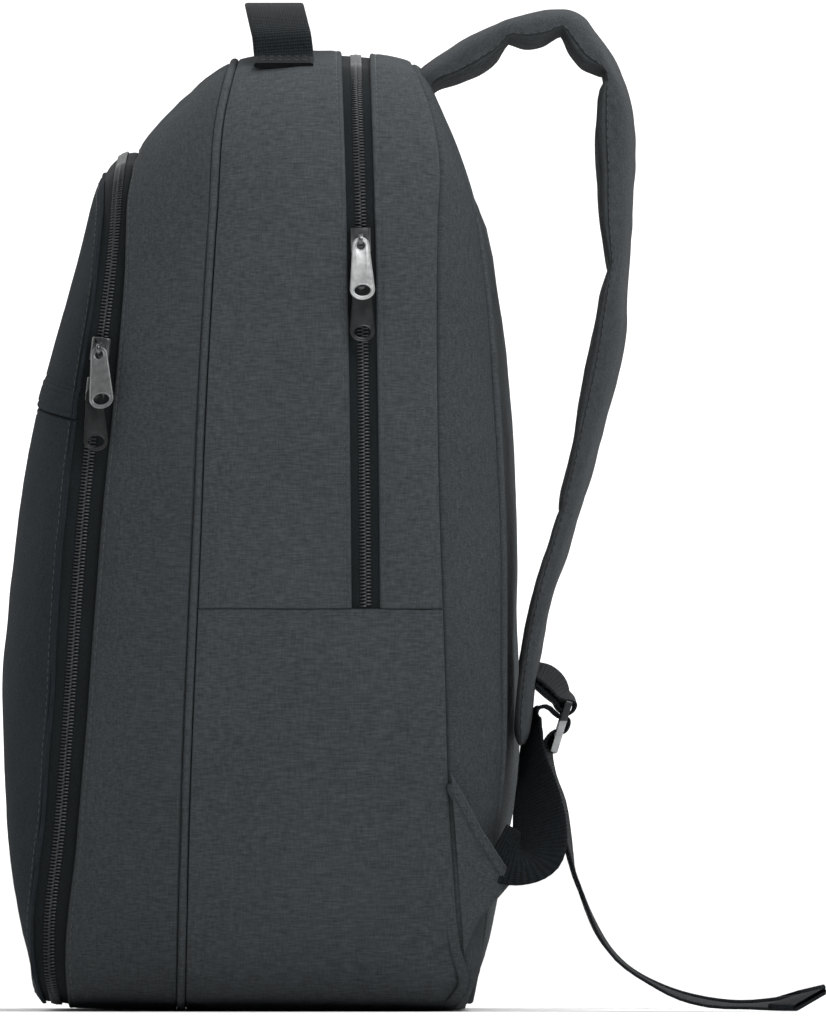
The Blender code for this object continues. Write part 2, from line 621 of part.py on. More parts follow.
def lock_point(along, out):
    """Point in side view from the buckle's own directions: down its length, and outwards."""
    down = np.array((math.sin(LOCK_TILT), -math.cos(LOCK_TILT)))
    face = np.array((math.cos(LOCK_TILT), math.sin(LOCK_TILT)))
    origin = np.array((LOCK_PLACE[1] * BODY_DEPTH, LOCK_PLACE[2] * BODY_HEIGHT))
    return origin + down * along + face * out


LOCK_REACH = LOCK_THICKNESS / 2 + WEBBING_CLEARANCE + WEBBING_THICKNESS / 2
MIDDLE_BAR = LOCK_BAR + LOCK_SLOT
THUMB_START = MIDDLE_BAR + LOCK_BAR / 2 + LOCK_LOWER_SLOT


def add_lock(name, mirror):
    """Three-bar buckle: a plate with two slots for the webbing."""
    half = WEBBING_WIDTH / 2 + WEBBING_CLEARANCE * 2
    length = (-LOCK_BAR / 2, LOCK_BAR / 2, MIDDLE_BAR - LOCK_BAR / 2, MIDDLE_BAR + LOCK_BAR / 2,
              THUMB_START, THUMB_START + LOCK_THUMB)
    columns = (-half - LOCK_RAIL, -half, half, half + LOCK_RAIL)
    vertices, faces = [], []
    for out in (-LOCK_THICKNESS / 2, LOCK_THICKNESS / 2):
        for along in length:
            for x in columns:
                y, z = lock_point(along, out)
                vertices.append((mirror * (LOCK_PLACE[0] * HALF_WIDTH + x), y, z))
    rows, wide = len(length), len(columns)

    def corner(layer, r, c):
        return layer * rows * wide + r * wide + c

    open_cells = {(1, 1), (3, 1)}
    for r in range(rows - 1):
        for c in range(wide - 1):
            if (r, c) in open_cells:
                for a, b in (((r, c), (r, c + 1)), ((r, c + 1), (r + 1, c + 1)),
                             ((r + 1, c + 1), (r + 1, c)), ((r + 1, c), (r, c))):
                    faces.append((corner(0, *a), corner(0, *b), corner(1, *b), corner(1, *a)))
                continue
            for layer in (0, 1):
                faces.append((corner(layer, r, c), corner(layer, r, c + 1),
                              corner(layer, r + 1, c + 1), corner(layer, r + 1, c)))
    rim = [(0, c) for c in range(wide)] + [(r, wide - 1) for r in range(1, rows)]
    rim += [(rows - 1, c) for c in range(wide - 2, -1, -1)] + [(r, 0) for r in range(rows - 2, 0, -1)]
    for a, b in zip(rim, rim[1:] + rim[:1]):
        faces.append((corner(0, *a), corner(0, *b), corner(1, *b), corner(1, *a)))
    add_piece(name, vertices, faces, "moulding")


def add_strap_end(name, mirror):
    """Webbing loop from the padded strap's outer face round the buckle's upper bar."""
    top = lock_point(0, 0)[1] + STRAP_END_RISE
    foot = top - STRAP_END_SPREAD
    lift = WEBBING_THICKNESS / 2 + SEAM_GAP
    reach = LOCK_REACH
    wrap = LOCK_BAR / 2 + WEBBING_CLEARANCE + WEBBING_THICKNESS / 2
    side, end = reach - WEBBING_THICKNESS / 2, wrap - WEBBING_THICKNESS / 2
    corners = ((-wrap, -side), (-wrap, side), (-end, reach), (end, reach), (wrap, side), (wrap, -side),
               (end, -reach), (-end * STRAP_END_LAST, -reach))
    span = lock_point(-wrap, -side)[0] - strap_face(top)
    path = [(strap_face(top) + lift * STRAP_END_SEAT, top)]
    path += [(strap_face(top) + span * way, top - span * drop) for way, drop in STRAP_END_FRONT]
    path += [tuple(lock_point(along, out)) for along, out in corners]
    path += [(strap_face(foot) + span * STRAP_END_BACK[0], foot - span * STRAP_END_BACK[1]),
             (strap_face(foot) + lift * STRAP_END_SEAT, foot)]
    points = [(mirror * LOCK_PLACE[0] * HALF_WIDTH, y, z) for y, z in path]
    add_piece(name, *ribbon(points, [(1, 0, 0)] * len(points), WEBBING_WIDTH, WEBBING_THICKNESS), "webbing")


def buckle_route():
    """The webbing's way through the two slots and over the middle bar, in side view."""
    upper = LOCK_BAR / 2 + WEBBING_CLEARANCE * 2 + WEBBING_THICKNESS
    stations = {"crossing": (upper + MIDDLE_BAR - LOCK_BAR / 2) / 2, "bar": MIDDLE_BAR,
                "lower": MIDDLE_BAR + LOCK_BAR / 2 + LOCK_LOWER_SLOT / 2,
                "thumb": THUMB_START, "end": THUMB_START + LOCK_THUMB}
    return [lock_point(stations[station] + shift * LOCK_BAR, share * (LOCK_REACH + ROUTE_SLACK))
            for station, shift, share in ROUTE_ROWS]


def webbing_rows(rows, mirror):
    table = smooth_rows(rows, 2)
    points = table[:, :3] * (mirror * HALF_WIDTH, BODY_DEPTH, BODY_HEIGHT)
    return points, table[:, 3:] * (mirror, 1.0, 1.0)


def add_lower_webbing(name, mirror):
    """One strip from the wing's hem, up through the buckle, and down again to its free end."""
    load, load_across = webbing_rows(LOAD_ROWS, mirror)
    tail, tail_across = webbing_rows(TAIL_ROWS, mirror)
    middle = [(mirror * LOCK_PLACE[0] * HALF_WIDTH, y, z) for y, z in buckle_route()]
    points = np.vstack((load, middle, tail))
    acrosses = np.vstack((load_across, [(mirror, 0, 0)] * len(middle), tail_across))
    add_piece(name, *ribbon(points, acrosses, WEBBING_WIDTH, WEBBING_THICKNESS), "webbing")


def add_wing(name, mirror):
    """Cloth triangle whose root lies on the back seam and whose hem holds the webbing."""
    sheets = []
    for lift in (WING_ROOT_LIFT + WING_THICKNESS, WING_ROOT_LIFT):
        sheet = []
        for y_share, z_share in WING_OUTLINE:
            y, z = y_share * BODY_DEPTH, z_share * BODY_HEIGHT
            beyond = max(0.0, y - depth_at(SEAMS["back_seam"]["lean"], z))
            sheet.append((mirror * (HALF_WIDTH + lift - beyond * WING_SLANT), y, z))
        sheets.append(sheet)
    add_piece(name, *lofted(sheets), "cloth")


SMALLEST_AREA = 1e-12


def bag_top(skin, x, y):
    """Height of the bag's outer skin over a point near the top."""
    best = 0.0
    for a, b in zip(skin.lines, skin.lines[1:]):
        for k in range(len(a)):
            n = (k + 1) % len(a)
            quad = [Vector(p) for p in (a[k], a[n], b[n], b[k])]
            for triangle in ((quad[0], quad[1], quad[2]), (quad[0], quad[2], quad[3])):
                hit = height_over(triangle, x, y)
                if hit is not None and hit > best:
                    best = hit
    return best


def height_over(triangle, x, y):
    """Height where an upright line through (x, y) meets a triangle, or None."""
    (ax, ay, az), (bx, by, bz), (cx, cy, cz) = triangle
    area = (bx - ax) * (cy - ay) - (cx - ax) * (by - ay)
    if abs(area) < SMALLEST_AREA:
        return None
    u = ((bx - x) * (cy - y) - (cx - x) * (by - y)) / area
    v = ((cx - x) * (ay - y) - (ax - x) * (cy - y)) / area
    w = 1 - u - v
    if min(u, v, w) < 0.0:
        return None
    return u * az + v * bz + w * cz


def add_handle(skin):
    """Webbing arch over the bag's top, sewn down flat at both feet."""
    lift = HANDLE_THICKNESS / 2 + SEAM_GAP
    top = bag_top(skin, 0.0, HANDLE_PLACE)
    base_y = HANDLE_PLACE - HANDLE_FORWARD
    half = []
    for x in (HANDLE_HALF_SPAN, HANDLE_HALF_SPAN - HANDLE_FOOT / 2, HANDLE_HALF_SPAN - HANDLE_FOOT):
        edge = max(bag_top(skin, x, base_y - HANDLE_WIDTH / 2), bag_top(skin, x, base_y),
                   bag_top(skin, x, base_y + HANDLE_WIDTH / 2))
        half.append((x, base_y, edge + lift * HANDLE_SEAT))
    for span, rise in HANDLE_ARCH:
        half.append((span * (HANDLE_HALF_SPAN - HANDLE_FOOT), base_y - HANDLE_FORWARD * rise,
                     top + HANDLE_RISE * rise + lift))
    points = half + [(-x, y, z) for x, y, z in half[-2::-1]]
    add_piece("carry_handle", *ribbon(points, [(0, 1, 0)] * len(points), HANDLE_WIDTH, HANDLE_THICKNESS),
              "webbing")


def zip_frame(skin, first, last, height):
    """Place and directions on the near run of a zip: middle of the tape, down, and outwards."""
    edges = skin.layer(first, last, (0.0, 0.0), TAPE_DROP)
    middle = (edges[0] + edges[1]) / 2
    for k in range(len(middle) // 2):
        low, high = middle[k], middle[k + 1]
        if low[2] <= height <= high[2]:
            share = (height - low[2]) / (high[2] - low[2])
            place = low + (high - low) * share
            normals = skin.strips[skin.index(first)][0]
            normal = unit(normals[k] * (1 - share) + normals[k + 1] * share)
            down = unit(low - high)
            normal = unit(normal - down * np.dot(normal, down))
            return place, down, normal
    raise ValueError(height)


BAR_HALF_DIAGONAL = math.hypot(TAB_BAR, TAB_THICKNESS) / 2
SLIDER_TOP = COIL_RISE + SLIDER_CLEARANCE + SLIDER_PLATE
AXIS_RISE = SLIDER_TOP + BAR_HALF_DIAGONAL + TAB_CLEARANCE
BAIL_INNER = BAR_HALF_DIAGONAL + TAB_CLEARANCE
BAIL_OUTER = BAIL_INNER + BAIL_THICKNESS
UPPER_TAB_LIFT = math.asin((BAIL_OUTER + TAB_CLEARANCE + TAB_THICKNESS / 2) / SLIDER_SPACING)


def extruded(profile, place, u, v, w, start, stop):
    """Solid with a profile in the u-v plane, drawn out along w."""
    layers = [[place + u * a + v * b + w * distance for a, b in profile] for distance in (start, stop)]
    return lofted(layers)


def join_solid(target, vertices, faces):
    """Adds a second closed shape to a piece as one solid."""
    helper = add_piece(target.name + "_helper", vertices, faces, "slider_metal")
    helper.hide_render = True
    helper.display_type = "WIRE"
    union = target.modifiers.new("Join", "BOOLEAN")
    union.operation = "UNION"
    union.solver = "EXACT"
    union.object = helper


def add_slider(name, frame, lean):
    """Slider that straddles the coil, with the ring-shaped bail on its back."""
    place, down, normal = frame
    across = np.cross(normal, down)
    half, inner = SLIDER_WIDTH / 2, COIL_WIDTH / 2 + SLIDER_CLEARANCE
    groove = COIL_RISE + SLIDER_CLEARANCE
    profile = ((-half, SLIDER_CLEARANCE), (-inner, SLIDER_CLEARANCE), (-inner, groove), (inner, groove),
               (inner, SLIDER_CLEARANCE), (half, SLIDER_CLEARANCE), (half, SLIDER_TOP * SLIDER_BACK_SHARE),
               (half * SLIDER_BACK_SHARE, SLIDER_TOP), (-half * SLIDER_BACK_SHARE, SLIDER_TOP),
               (-half, SLIDER_TOP * SLIDER_BACK_SHARE))
    body = extruded(profile, place, across, normal, down, -SLIDER_LENGTH / 2, SLIDER_LENGTH / 2)
    slider = add_piece(name, *body, "slider_metal")
    hang = unit(down * math.cos(lean) + across * math.sin(lean))
    axis = np.cross(normal, hang)
    pivot = place + normal * AXIS_RISE
    sunk = SLIDER_TOP - AXIS_RISE - SLIDER_PLATE / 2
    turn = np.linspace(0, math.pi, 9)
    outer = [(BAIL_OUTER, sunk)] + [(BAIL_OUTER * math.cos(a), BAIL_OUTER * math.sin(a)) for a in turn]
    outer.append((-BAIL_OUTER, sunk))
    inside = [(BAIL_INNER, sunk)] + [(BAIL_INNER * math.cos(a), BAIL_INNER * math.sin(a)) for a in turn]
    inside.append((-BAIL_INNER, sunk))
    sheets = []
    for offset in (-BAIL_WIDTH / 2, BAIL_WIDTH / 2):
        for chain in (outer, inside):
            sheets.append([pivot + hang * a + normal * b + axis * offset for a, b in chain])
    sections = [[sheets[0][k], sheets[1][k], sheets[3][k], sheets[2][k]] for k in range(len(outer))]
    join_solid(slider, *lofted(sections))
    return pivot, hang, axis, normal


def round_hole(centre, width, length):
    """Outline of a round or oval hole around a place on the tab."""
    return [(centre + length / 2 * math.cos(a), width / 2 * math.sin(a))
            for a in np.linspace(0, 2 * math.pi, TAB_HOLE_SIDES, endpoint=False)]


def add_tab(name, pivot, hang, axis, normal, lift):
    """Pull tab: a plate that widens to its end, hung on the bail by its upper bar."""
    direction = hang * math.cos(lift) + normal * math.sin(lift)
    face = normal * math.cos(lift) - hang * math.sin(lift)
    half = [(-TAB_BAR / 2, TAB_TOP_WIDTH / 2 * TAB_BAR_SHARE)]
    half += [(TAB_LENGTH * along, (TAB_TOP_WIDTH * top + TAB_END_WIDTH * end) / 2)
             for along, top, end in TAB_OUTLINE]
    outline = half + [(a, -b) for a, b in half[::-1]]
    tab = add_piece(name, *extruded(outline, pivot, direction, axis, face,
                                    -TAB_THICKNESS / 2, TAB_THICKNESS / 2), "tab_metal", origin=pivot)
    bail_hole = round_hole(TAB_BAR / 2 + TAB_BAIL_HOLE / 2, TAB_BAIL_HOLE, TAB_BAIL_HOLE)
    grip_hole = round_hole(TAB_LENGTH * TAB_GRIP_HOLE_PLACE, TAB_GRIP_HOLE_WIDTH, TAB_GRIP_HOLE_LENGTH)
    for number, hole in enumerate((bail_hole, grip_hole)):
        cutter = add_piece(f"{name}_cutter_{number}", *extruded(
            hole, pivot, direction, axis, face, -TAB_THICKNESS, TAB_THICKNESS), "tab_metal")
        cutter.hide_render = True
        cutter.display_type = "WIRE"
        cut = tab.modifiers.new("Hole", "BOOLEAN")
        cut.operation = "DIFFERENCE"
        cut.solver = "EXACT"
        cut.object = cutter


def build_zip_pulls(skin):
    """Two sliders head to head on the near run of each zip, each with its pull tab."""
    pulls = (("main", "zip_front", "zip_back", MAIN_SLIDER_HEIGHT, MAIN_TAB_LEANS),
             ("front", "panel_edge", "zip_rear", FRONT_SLIDER_HEIGHT, FRONT_TAB_LEANS))
    for name, first, last, height, leans in pulls:
        for place, drop, lift, lean in (("upper", 0.0, UPPER_TAB_LIFT, leans[0]),
                                        ("lower", SLIDER_SPACING, 0.0, leans[1])):
            frame = zip_frame(skin, first, last, height - drop)
            hung = add_slider(f"{name}_slider_{place}", frame, math.radians(lean))
            add_tab(f"{name}_tab_{place}", *hung, lift)


def build_straps():
    for side, mirror in (("near", 1), ("far", -1)):
        add_piece(f"shoulder_strap_{side}", *lofted(strap_sections(mirror)), "cloth")
        add_strap_end(f"strap_end_{side}", mirror)
        add_lock(f"ladder_lock_{side}", mirror)
        add_wing(f"strap_wing_{side}", mirror)
        add_lower_webbing(f"lower_webbing_{side}", mirror)


clear_scene()
bag_skin = Skin()
build_bag(bag_skin)
add_handle(bag_skin)
build_straps()
build_zip_pulls(bag_skin)
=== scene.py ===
import math

import bpy
import numpy as np
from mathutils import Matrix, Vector, noise


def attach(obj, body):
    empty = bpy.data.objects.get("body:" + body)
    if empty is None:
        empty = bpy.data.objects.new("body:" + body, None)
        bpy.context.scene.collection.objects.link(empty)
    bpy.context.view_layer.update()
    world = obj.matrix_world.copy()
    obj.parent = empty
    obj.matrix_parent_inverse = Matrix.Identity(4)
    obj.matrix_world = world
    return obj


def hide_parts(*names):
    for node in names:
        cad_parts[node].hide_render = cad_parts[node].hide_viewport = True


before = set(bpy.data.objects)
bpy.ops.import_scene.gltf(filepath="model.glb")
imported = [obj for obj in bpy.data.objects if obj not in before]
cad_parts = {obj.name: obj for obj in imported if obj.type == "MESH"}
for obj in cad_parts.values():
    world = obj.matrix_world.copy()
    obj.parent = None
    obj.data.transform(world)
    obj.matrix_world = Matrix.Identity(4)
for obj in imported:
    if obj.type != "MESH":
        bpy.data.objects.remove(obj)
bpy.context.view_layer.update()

# Studio: a pale floor, a room that lights the bag from behind and little from the near side, a soft
# lamp close above the near side and a weak one behind the straps. The camera sees the room as
# plain white. It stands far off on the near side with a long lens, half a degree below level.
bpy.ops.object.select_all(action="DESELECT")
bpy.ops.mesh.primitive_plane_add(size=120.0, location=(0.0, 0.0, -0.0004))
floor = bpy.context.active_object
floor.name = "studio_floor"
bpy.ops.object.transform_apply(location=True, rotation=True, scale=True)
paper = bpy.data.materials.new("studio_paper")
paper.use_nodes = True
paper_sockets = paper.node_tree.nodes["Principled BSDF"].inputs
paper_sockets["Base Color"].default_value = (0.92, 0.92, 0.92, 1.0)
paper_sockets["Roughness"].default_value = 0.9
floor.data.materials.append(paper)

room = bpy.data.worlds.new("studio_room")
room.use_nodes = True
room_nodes, room_links = room.node_tree.nodes, room.node_tree.links
room_nodes["Background"].inputs["Color"].default_value = (1.0, 1.0, 1.0, 1.0)
heading = room_nodes.new("ShaderNodeSeparateXYZ")
room_links.new(room_nodes.new("ShaderNodeTexCoord").outputs["Generated"], heading.inputs[0])
room_light = room_nodes.new("ShaderNodeMath")
room_light.operation = "MULTIPLY"
for input_index, axis, ramp in ((0, "X", (0.3, -0.3, 0.03, 1.32)), (1, "Z", (0.1, 0.9, 1.0, 1.9))):
    falloff = room_nodes.new("ShaderNodeMapRange")
    for socket, value in zip(("From Min", "From Max", "To Min", "To Max"), ramp):
        falloff.inputs[socket].default_value = value
    room_links.new(heading.outputs[axis], falloff.inputs["Value"])
    room_links.new(falloff.outputs[0], room_light.inputs[input_index])
room_shown = room_nodes.new("ShaderNodeMath")
room_shown.operation = "MAXIMUM"
room_links.new(room_light.outputs[0], room_shown.inputs[0])
room_links.new(room_nodes.new("ShaderNodeLightPath").outputs["Is Camera Ray"], room_shown.inputs[1])
room_links.new(room_shown.outputs[0], room_nodes["Background"].inputs["Strength"])
bpy.context.scene.world = room
bpy.context.scene.view_settings.view_transform = "Standard"

BAG_MIDDLE = Vector((0.0, 0.0, 0.2))
for lamp_name, place, size, power in (("lamp_above", (0.62, 0.22, 0.86), 0.40, 4.75),
                                      ("lamp_back", (-0.40, 1.30, 2.00), 0.8, 10.0)):
    bpy.ops.object.light_add(type="AREA", location=place)
    lamp = bpy.context.active_object
    lamp.name = lamp_name
    lamp.data.size, lamp.data.energy = size, power
    lamp.rotation_euler = (BAG_MIDDLE - Vector(place)).to_track_quat("-Z", "Y").to_euler()

SIGHT = Vector((0.140, 0.0668, 0.2171))
CAMERA_DISTANCE = 15.0
CAMERA_ELEVATION = math.radians(-0.50)
FRAME_HEIGHT, SENSOR_HEIGHT = 0.4458, 36.0
bpy.ops.object.camera_add(location=SIGHT + CAMERA_DISTANCE * Vector(
    (math.cos(CAMERA_ELEVATION), 0.0, math.sin(CAMERA_ELEVATION))))
camera = bpy.context.active_object
camera.name = "photo_camera"
camera.rotation_euler = (SIGHT - camera.location).to_track_quat("-Z", "Y").to_euler()
camera.data.sensor_fit = "VERTICAL"
camera.data.sensor_height = SENSOR_HEIGHT
camera.data.lens = SENSOR_HEIGHT * CAMERA_DISTANCE / FRAME_HEIGHT
camera.data.clip_end = 120.0
bpy.context.scene.camera = camera

# Lower body: the sides and the flat bottom in one trough of cloth over thin foam, sewn to the
# upper strips along a level side seam. Its top edge is folded and stitched down 2.5 mm below.
# The bag's seams are the lines that part.py draws, here with more points.
HALF_WIDTH, BAG_DEPTH, BAG_HEIGHT = 0.140, 0.225, 0.420
SIDE_SEAM = 0.175
CLOTH_WALL, CLOTH_FILL = 0.0026, 0.3
SAME_POINT, FLOOR_GAP = 0.000002, 0.0001
CLOTH_SMOOTH = 50
SIDES = (("near", 1.0), ("far", -1.0))
SEAM_ROWS = {
    "panel_edge": (0.876, 0.886, 0.86, 1.05, 0.009, (
        (0.000, -0.415), (0.028, -0.435), (0.080, -0.442), (0.198, -0.422), (0.552, -0.373),
        (0.630, -0.358), (0.740, -0.327), (0.812, -0.310), (0.876, -0.306))),
    "zip_rear": (0.895, 0.907, 0.90, 1.00, 0.006, (
        (0.000, -0.372), (0.045, -0.378), (0.176, -0.356), (0.295, -0.338), (0.500, -0.309),
        (0.652, -0.281), (0.760, -0.262), (0.860, -0.250), (0.895, -0.236))),
    "front_pipe": (0.990, 0.979, 0.98, 0.96, 0.0045, (
        (0.000, -0.153), (0.240, -0.142), (0.470, -0.124), (0.640, -0.111), (0.830, -0.090),
        (0.930, -0.076), (0.990, -0.051))),
    "back_seam": (0.988, 1.000, 1.00, 0.90, 0.0, (
        (0.000, 0.374), (0.026, 0.404), (0.069, 0.389), (0.157, 0.374), (0.386, 0.358),
        (0.571, 0.347), (0.820, 0.346), (0.881, 0.349), (0.936, 0.330), (0.988, 0.293))),
    "back_pipe": (0.962, 0.850, 0.86, 1.05, 0.014, (
        (0.000, 0.403), (0.050, 0.420), (0.121, 0.440), (0.233, 0.466), (0.386, 0.472),
        (0.500, 0.470), (0.617, 0.460), (0.733, 0.442), (0.826, 0.416), (0.895, 0.376),
        (0.962, 0.322))),
}


def unit(vectors):
    """The vectors, each made one long."""
    return vectors / np.maximum(np.linalg.norm(vectors, axis=-1, keepdims=True), 1e-12)


def square_to(vectors, axes):
    """The vectors without their share along unit axes, made one long."""
    return unit(vectors - axes * np.sum(vectors * axes, axis=1, keepdims=True))


def between(start, end, start_slope, end_slope, gap, t):
    """Smooth curve between two points with given slopes."""
    return ((2 * t ** 3 - 3 * t ** 2 + 1) * start + (t ** 3 - 2 * t ** 2 + t) * gap * start_slope
            + (3 * t ** 2 - 2 * t ** 3) * end + (t ** 3 - t ** 2) * gap * end_slope)


def fair_slopes(values, gap):
    """Slope at each row of a table, from the rows on either side."""
    slope = np.diff(values, axis=0) / gap
    inner = (slope[:-1] * gap[1:] + slope[1:] * gap[:-1]) / (gap[1:] + gap[:-1])
    return np.concatenate((slope[:1], inner, slope[-1:]))


def fair_rows(rows, height):
    """Smooth value at a height share from (height share, value) rows."""
    x, y = np.array(rows).T
    gap = np.diff(x)
    slopes = fair_slopes(y, gap)
    k = np.clip(np.searchsorted(x, height) - 1, 0, len(gap) - 1)
    t = np.clip((height - x[k]) / gap[k], 0.0, 1.0)
    return between(y[k], y[k + 1], slopes[k], slopes[k + 1], gap[k], t)


def upright_outline(half_width, crest, corner, low_corner, foot):
    """Closed outline of a seam as (x, z), from the bottom middle up the near side."""
    shoulder = crest - 0.005
    half = [(0.0, foot), ((half_width - low_corner) / 2, foot)]
    for angle in np.radians((-90, -60, -30, 0)):
        half.append((half_width - low_corner + low_corner * math.cos(angle),
                     foot + low_corner + low_corner * math.sin(angle)))
    hip = half[-1][1]
    half += [(half_width, hip + (SIDE_SEAM - hip) * share) for share in (0.5, 1.0)]
    half += [(half_width, SIDE_SEAM + (shoulder - corner - SIDE_SEAM) * share)
             for share in (0.25, 0.5, 0.75, 1.0)]
    for angle in np.radians((15, 30, 45, 60, 75, 90)):
        half.append((half_width - corner + corner * math.cos(angle),
                     shoulder - corner + corner * math.sin(angle)))
    half += [((half_width - corner) / 2, crest - 0.00125), (0.0, crest)]
    return np.array(half + [(-x, z) for x, z in half[-2:0:-1]])


def outline_gaps(line):
    return np.linalg.norm(np.roll(line, -1, axis=0) - line, axis=1, keepdims=True)


COARSE = {name: upright_outline(HALF_WIDTH * row[1], BAG_HEIGHT * row[0], 0.070 * row[2],
                                0.022 * row[3], BAG_HEIGHT * row[4])
          for name, row in SEAM_ROWS.items()}
STEPS = np.maximum(2, np.round(outline_gaps(COARSE["front_pipe"])[:, 0] / 0.004)).astype(int)
SEAM_PLACE = int(STEPS[:7].sum())
AROUND = int(STEPS.sum())


def seam_line(name):
    """A seam all round the bag, as smooth points."""
    line = COARSE[name]
    gap = outline_gaps(line)
    after = (np.roll(line, -1, axis=0) - line) / gap
    gap_before, before = np.roll(gap, 1, axis=0), np.roll(after, 1, axis=0)
    slope = (after * gap_before + before * gap) / (gap_before + gap)
    points = []
    for k, steps in enumerate(STEPS):
        n = (k + 1) % len(line)
        points += [between(line[k], line[n], slope[k], slope[n], gap[k], t)
                   for t in np.arange(steps) / steps]
    points = np.array(points)
    depth = fair_rows(SEAM_ROWS[name][5], points[:, 1] / BAG_HEIGHT) * BAG_DEPTH
    return np.column_stack((points[:, 0], depth, points[:, 1]))


SEAM = {name: seam_line(name) for name in SEAM_ROWS}


def at(line, places):
    """Points of a closed line at whole or part indices."""
    low = np.floor(places).astype(int)
    share = (places - low)[:, None]
    return line[low % len(line)] * (1 - share) + line[(low + 1) % len(line)] * share


def run(first, last):
    """Indices from one end of a strip to the other, close together near both ends."""
    fine = np.array((0.0, 0.07, 0.17, 0.3, 0.45, 0.6, 0.8))
    return np.concatenate((first + fine, np.arange(first + 1, last), last - fine[::-1]))


def facing(line_a, line_b):
    """Outward normals of the strip between two closed lines."""
    middle = (line_a + line_b) / 2
    along = unit(np.roll(middle, -1, axis=0) - np.roll(middle, 1, axis=0))
    return unit(np.cross(square_to(line_b - line_a, along), along))


def distance_along(points):
    """Distance travelled along a line at each of its points."""
    return np.concatenate(([0.0], np.cumsum(np.linalg.norm(np.diff(points, axis=0), axis=1))))


def from_end(places):
    """How many rows each row of a strip lies from its nearer end."""
    rows = np.arange(len(places))
    return np.minimum(rows, rows[::-1])


class Swollen:
    """The outward-curved surface between two seams, as points at (place, share across)."""

    def __init__(self, front, back, swell):
        self.front, self.back, self.swell = SEAM[front], SEAM[back], swell
        self.normals = facing(self.front, self.back)
        self.level = back == "back_seam"

    def points(self, places, shares):
        """Grid of points and normals: one row for each place, one column for each share."""
        a, b = at(self.front, places)[:, None], at(self.back, places)[:, None]
        normals = unit(at(self.normals, places))[:, None] + 0.0 * b
        shares = np.broadcast_to(shares, (len(places), shares.shape[-1]))[..., None]
        side = np.clip((normals[..., 2:3] + 0.9) / 0.7, 0.0, 1.0)
        push = self.swell * side * np.sqrt(np.sin(math.pi * np.clip(shares, 0.0, 1.0)))
        grid = a + (b - a) * shares + normals * push
        if self.level:
            flat = a[..., 2:] * np.clip(1 - shares / 0.2, 0.0, 1.0)
            grid[..., 2:] = np.where(b[..., 2:] < 0.0004, flat, grid[..., 2:])
        return grid, np.broadcast_to(normals, grid.shape)

    def width(self, places):
        return np.linalg.norm(at(self.back, places) - at(self.front, places), axis=1)

    def share_at(self, places, depth):
        """Share across at which the surface has a given depth."""
        a, b = at(self.front, places)[:, 1], at(self.back, places)[:, 1]
        return (depth - a) / (b - a)


STITCH_INSET, STITCH_DENT, DENT_REACH = 0.0025, 0.00035, 0.0006
EDGE_RADIUS = {"fold": 0.0013, "seam": 0.0010}
EDGE_STEPS = np.array((0.0, 0.0003, 0.0008, 0.0014, 0.0020, 0.0025, 0.0030, 0.0036, 0.0048))


def columns(start, end, width, count):
    """Shares across a strip, close together near both edges, for each place along it."""
    near = EDGE_STEPS / width[:, None]
    middle = near[:, -1:] + (1 - 2 * near[:, -1:]) * np.linspace(0.0, 1.0, count)[1:-1]
    across = np.hstack((near, middle, 1 - near[:, ::-1]))
    return start[:, None] + (end - start)[:, None] * across, np.hstack(
        (np.broadcast_to(EDGE_STEPS, near.shape), middle * width[:, None],
         np.broadcast_to(width[:, None] - EDGE_STEPS[::-1], near.shape)))


def edge_drop(distance, kind):
    """How far the cloth lies under its surface at a distance from a folded or sewn edge."""
    if kind == "open":
        return np.zeros_like(distance)
    radius = EDGE_RADIUS[kind]
    inside = radius - np.clip(distance, 0.0, radius)
    drop = radius - np.sqrt(radius ** 2 - inside ** 2)
    if kind == "fold":
        drop = drop + STITCH_DENT * np.exp(-((distance - STITCH_INSET) / DENT_REACH) ** 2)
    return drop


def ripple(grid, normals, height, stretch, seed):
    """Soft waves of the cloth, taller where noise says so, stretched along one axis or more."""
    flat = grid.reshape(-1, 3) * np.array(stretch) + seed
    waves = np.array([noise.fractal(Vector(p), 1.0, 2.0, 3) for p in flat])
    return grid + normals * (waves * height).reshape(grid.shape[:2] + (1,))


def give_wall(piece, wall, thin_from=None):
    """Thickens a sheet inwards, to a fifth of the wall outside the named vertex group."""
    thick = piece.modifiers.new("Wall", "SOLIDIFY")
    thick.thickness, thick.offset = wall, -1.0
    if thin_from:
        thick.vertex_group, thick.thickness_vertex_group = thin_from, 0.2
    bpy.ops.object.modifier_apply(modifier="Wall")


def edit_all(*steps):
    """Runs edit-mode steps on the whole active piece."""
    bpy.ops.object.mode_set(mode="EDIT")
    bpy.ops.mesh.select_all(action="SELECT")
    for step in steps:
        step()
    bpy.ops.object.mode_set(mode="OBJECT")


def merge():
    bpy.ops.mesh.remove_doubles(threshold=SAME_POINT)


def face_outwards():
    bpy.ops.mesh.normals_make_consistent(inside=False)


def fill_ends():
    """Closes the open ends of a tube and turns its faces outwards."""
    bpy.ops.mesh.select_all(action="DESELECT")
    bpy.ops.mesh.select_non_manifold()
    bpy.ops.mesh.fill()
    bpy.ops.mesh.select_all(action="SELECT")
    face_outwards()


def smooth_by(degrees):
    bpy.ops.object.shade_smooth_by_angle(angle=math.radians(degrees))


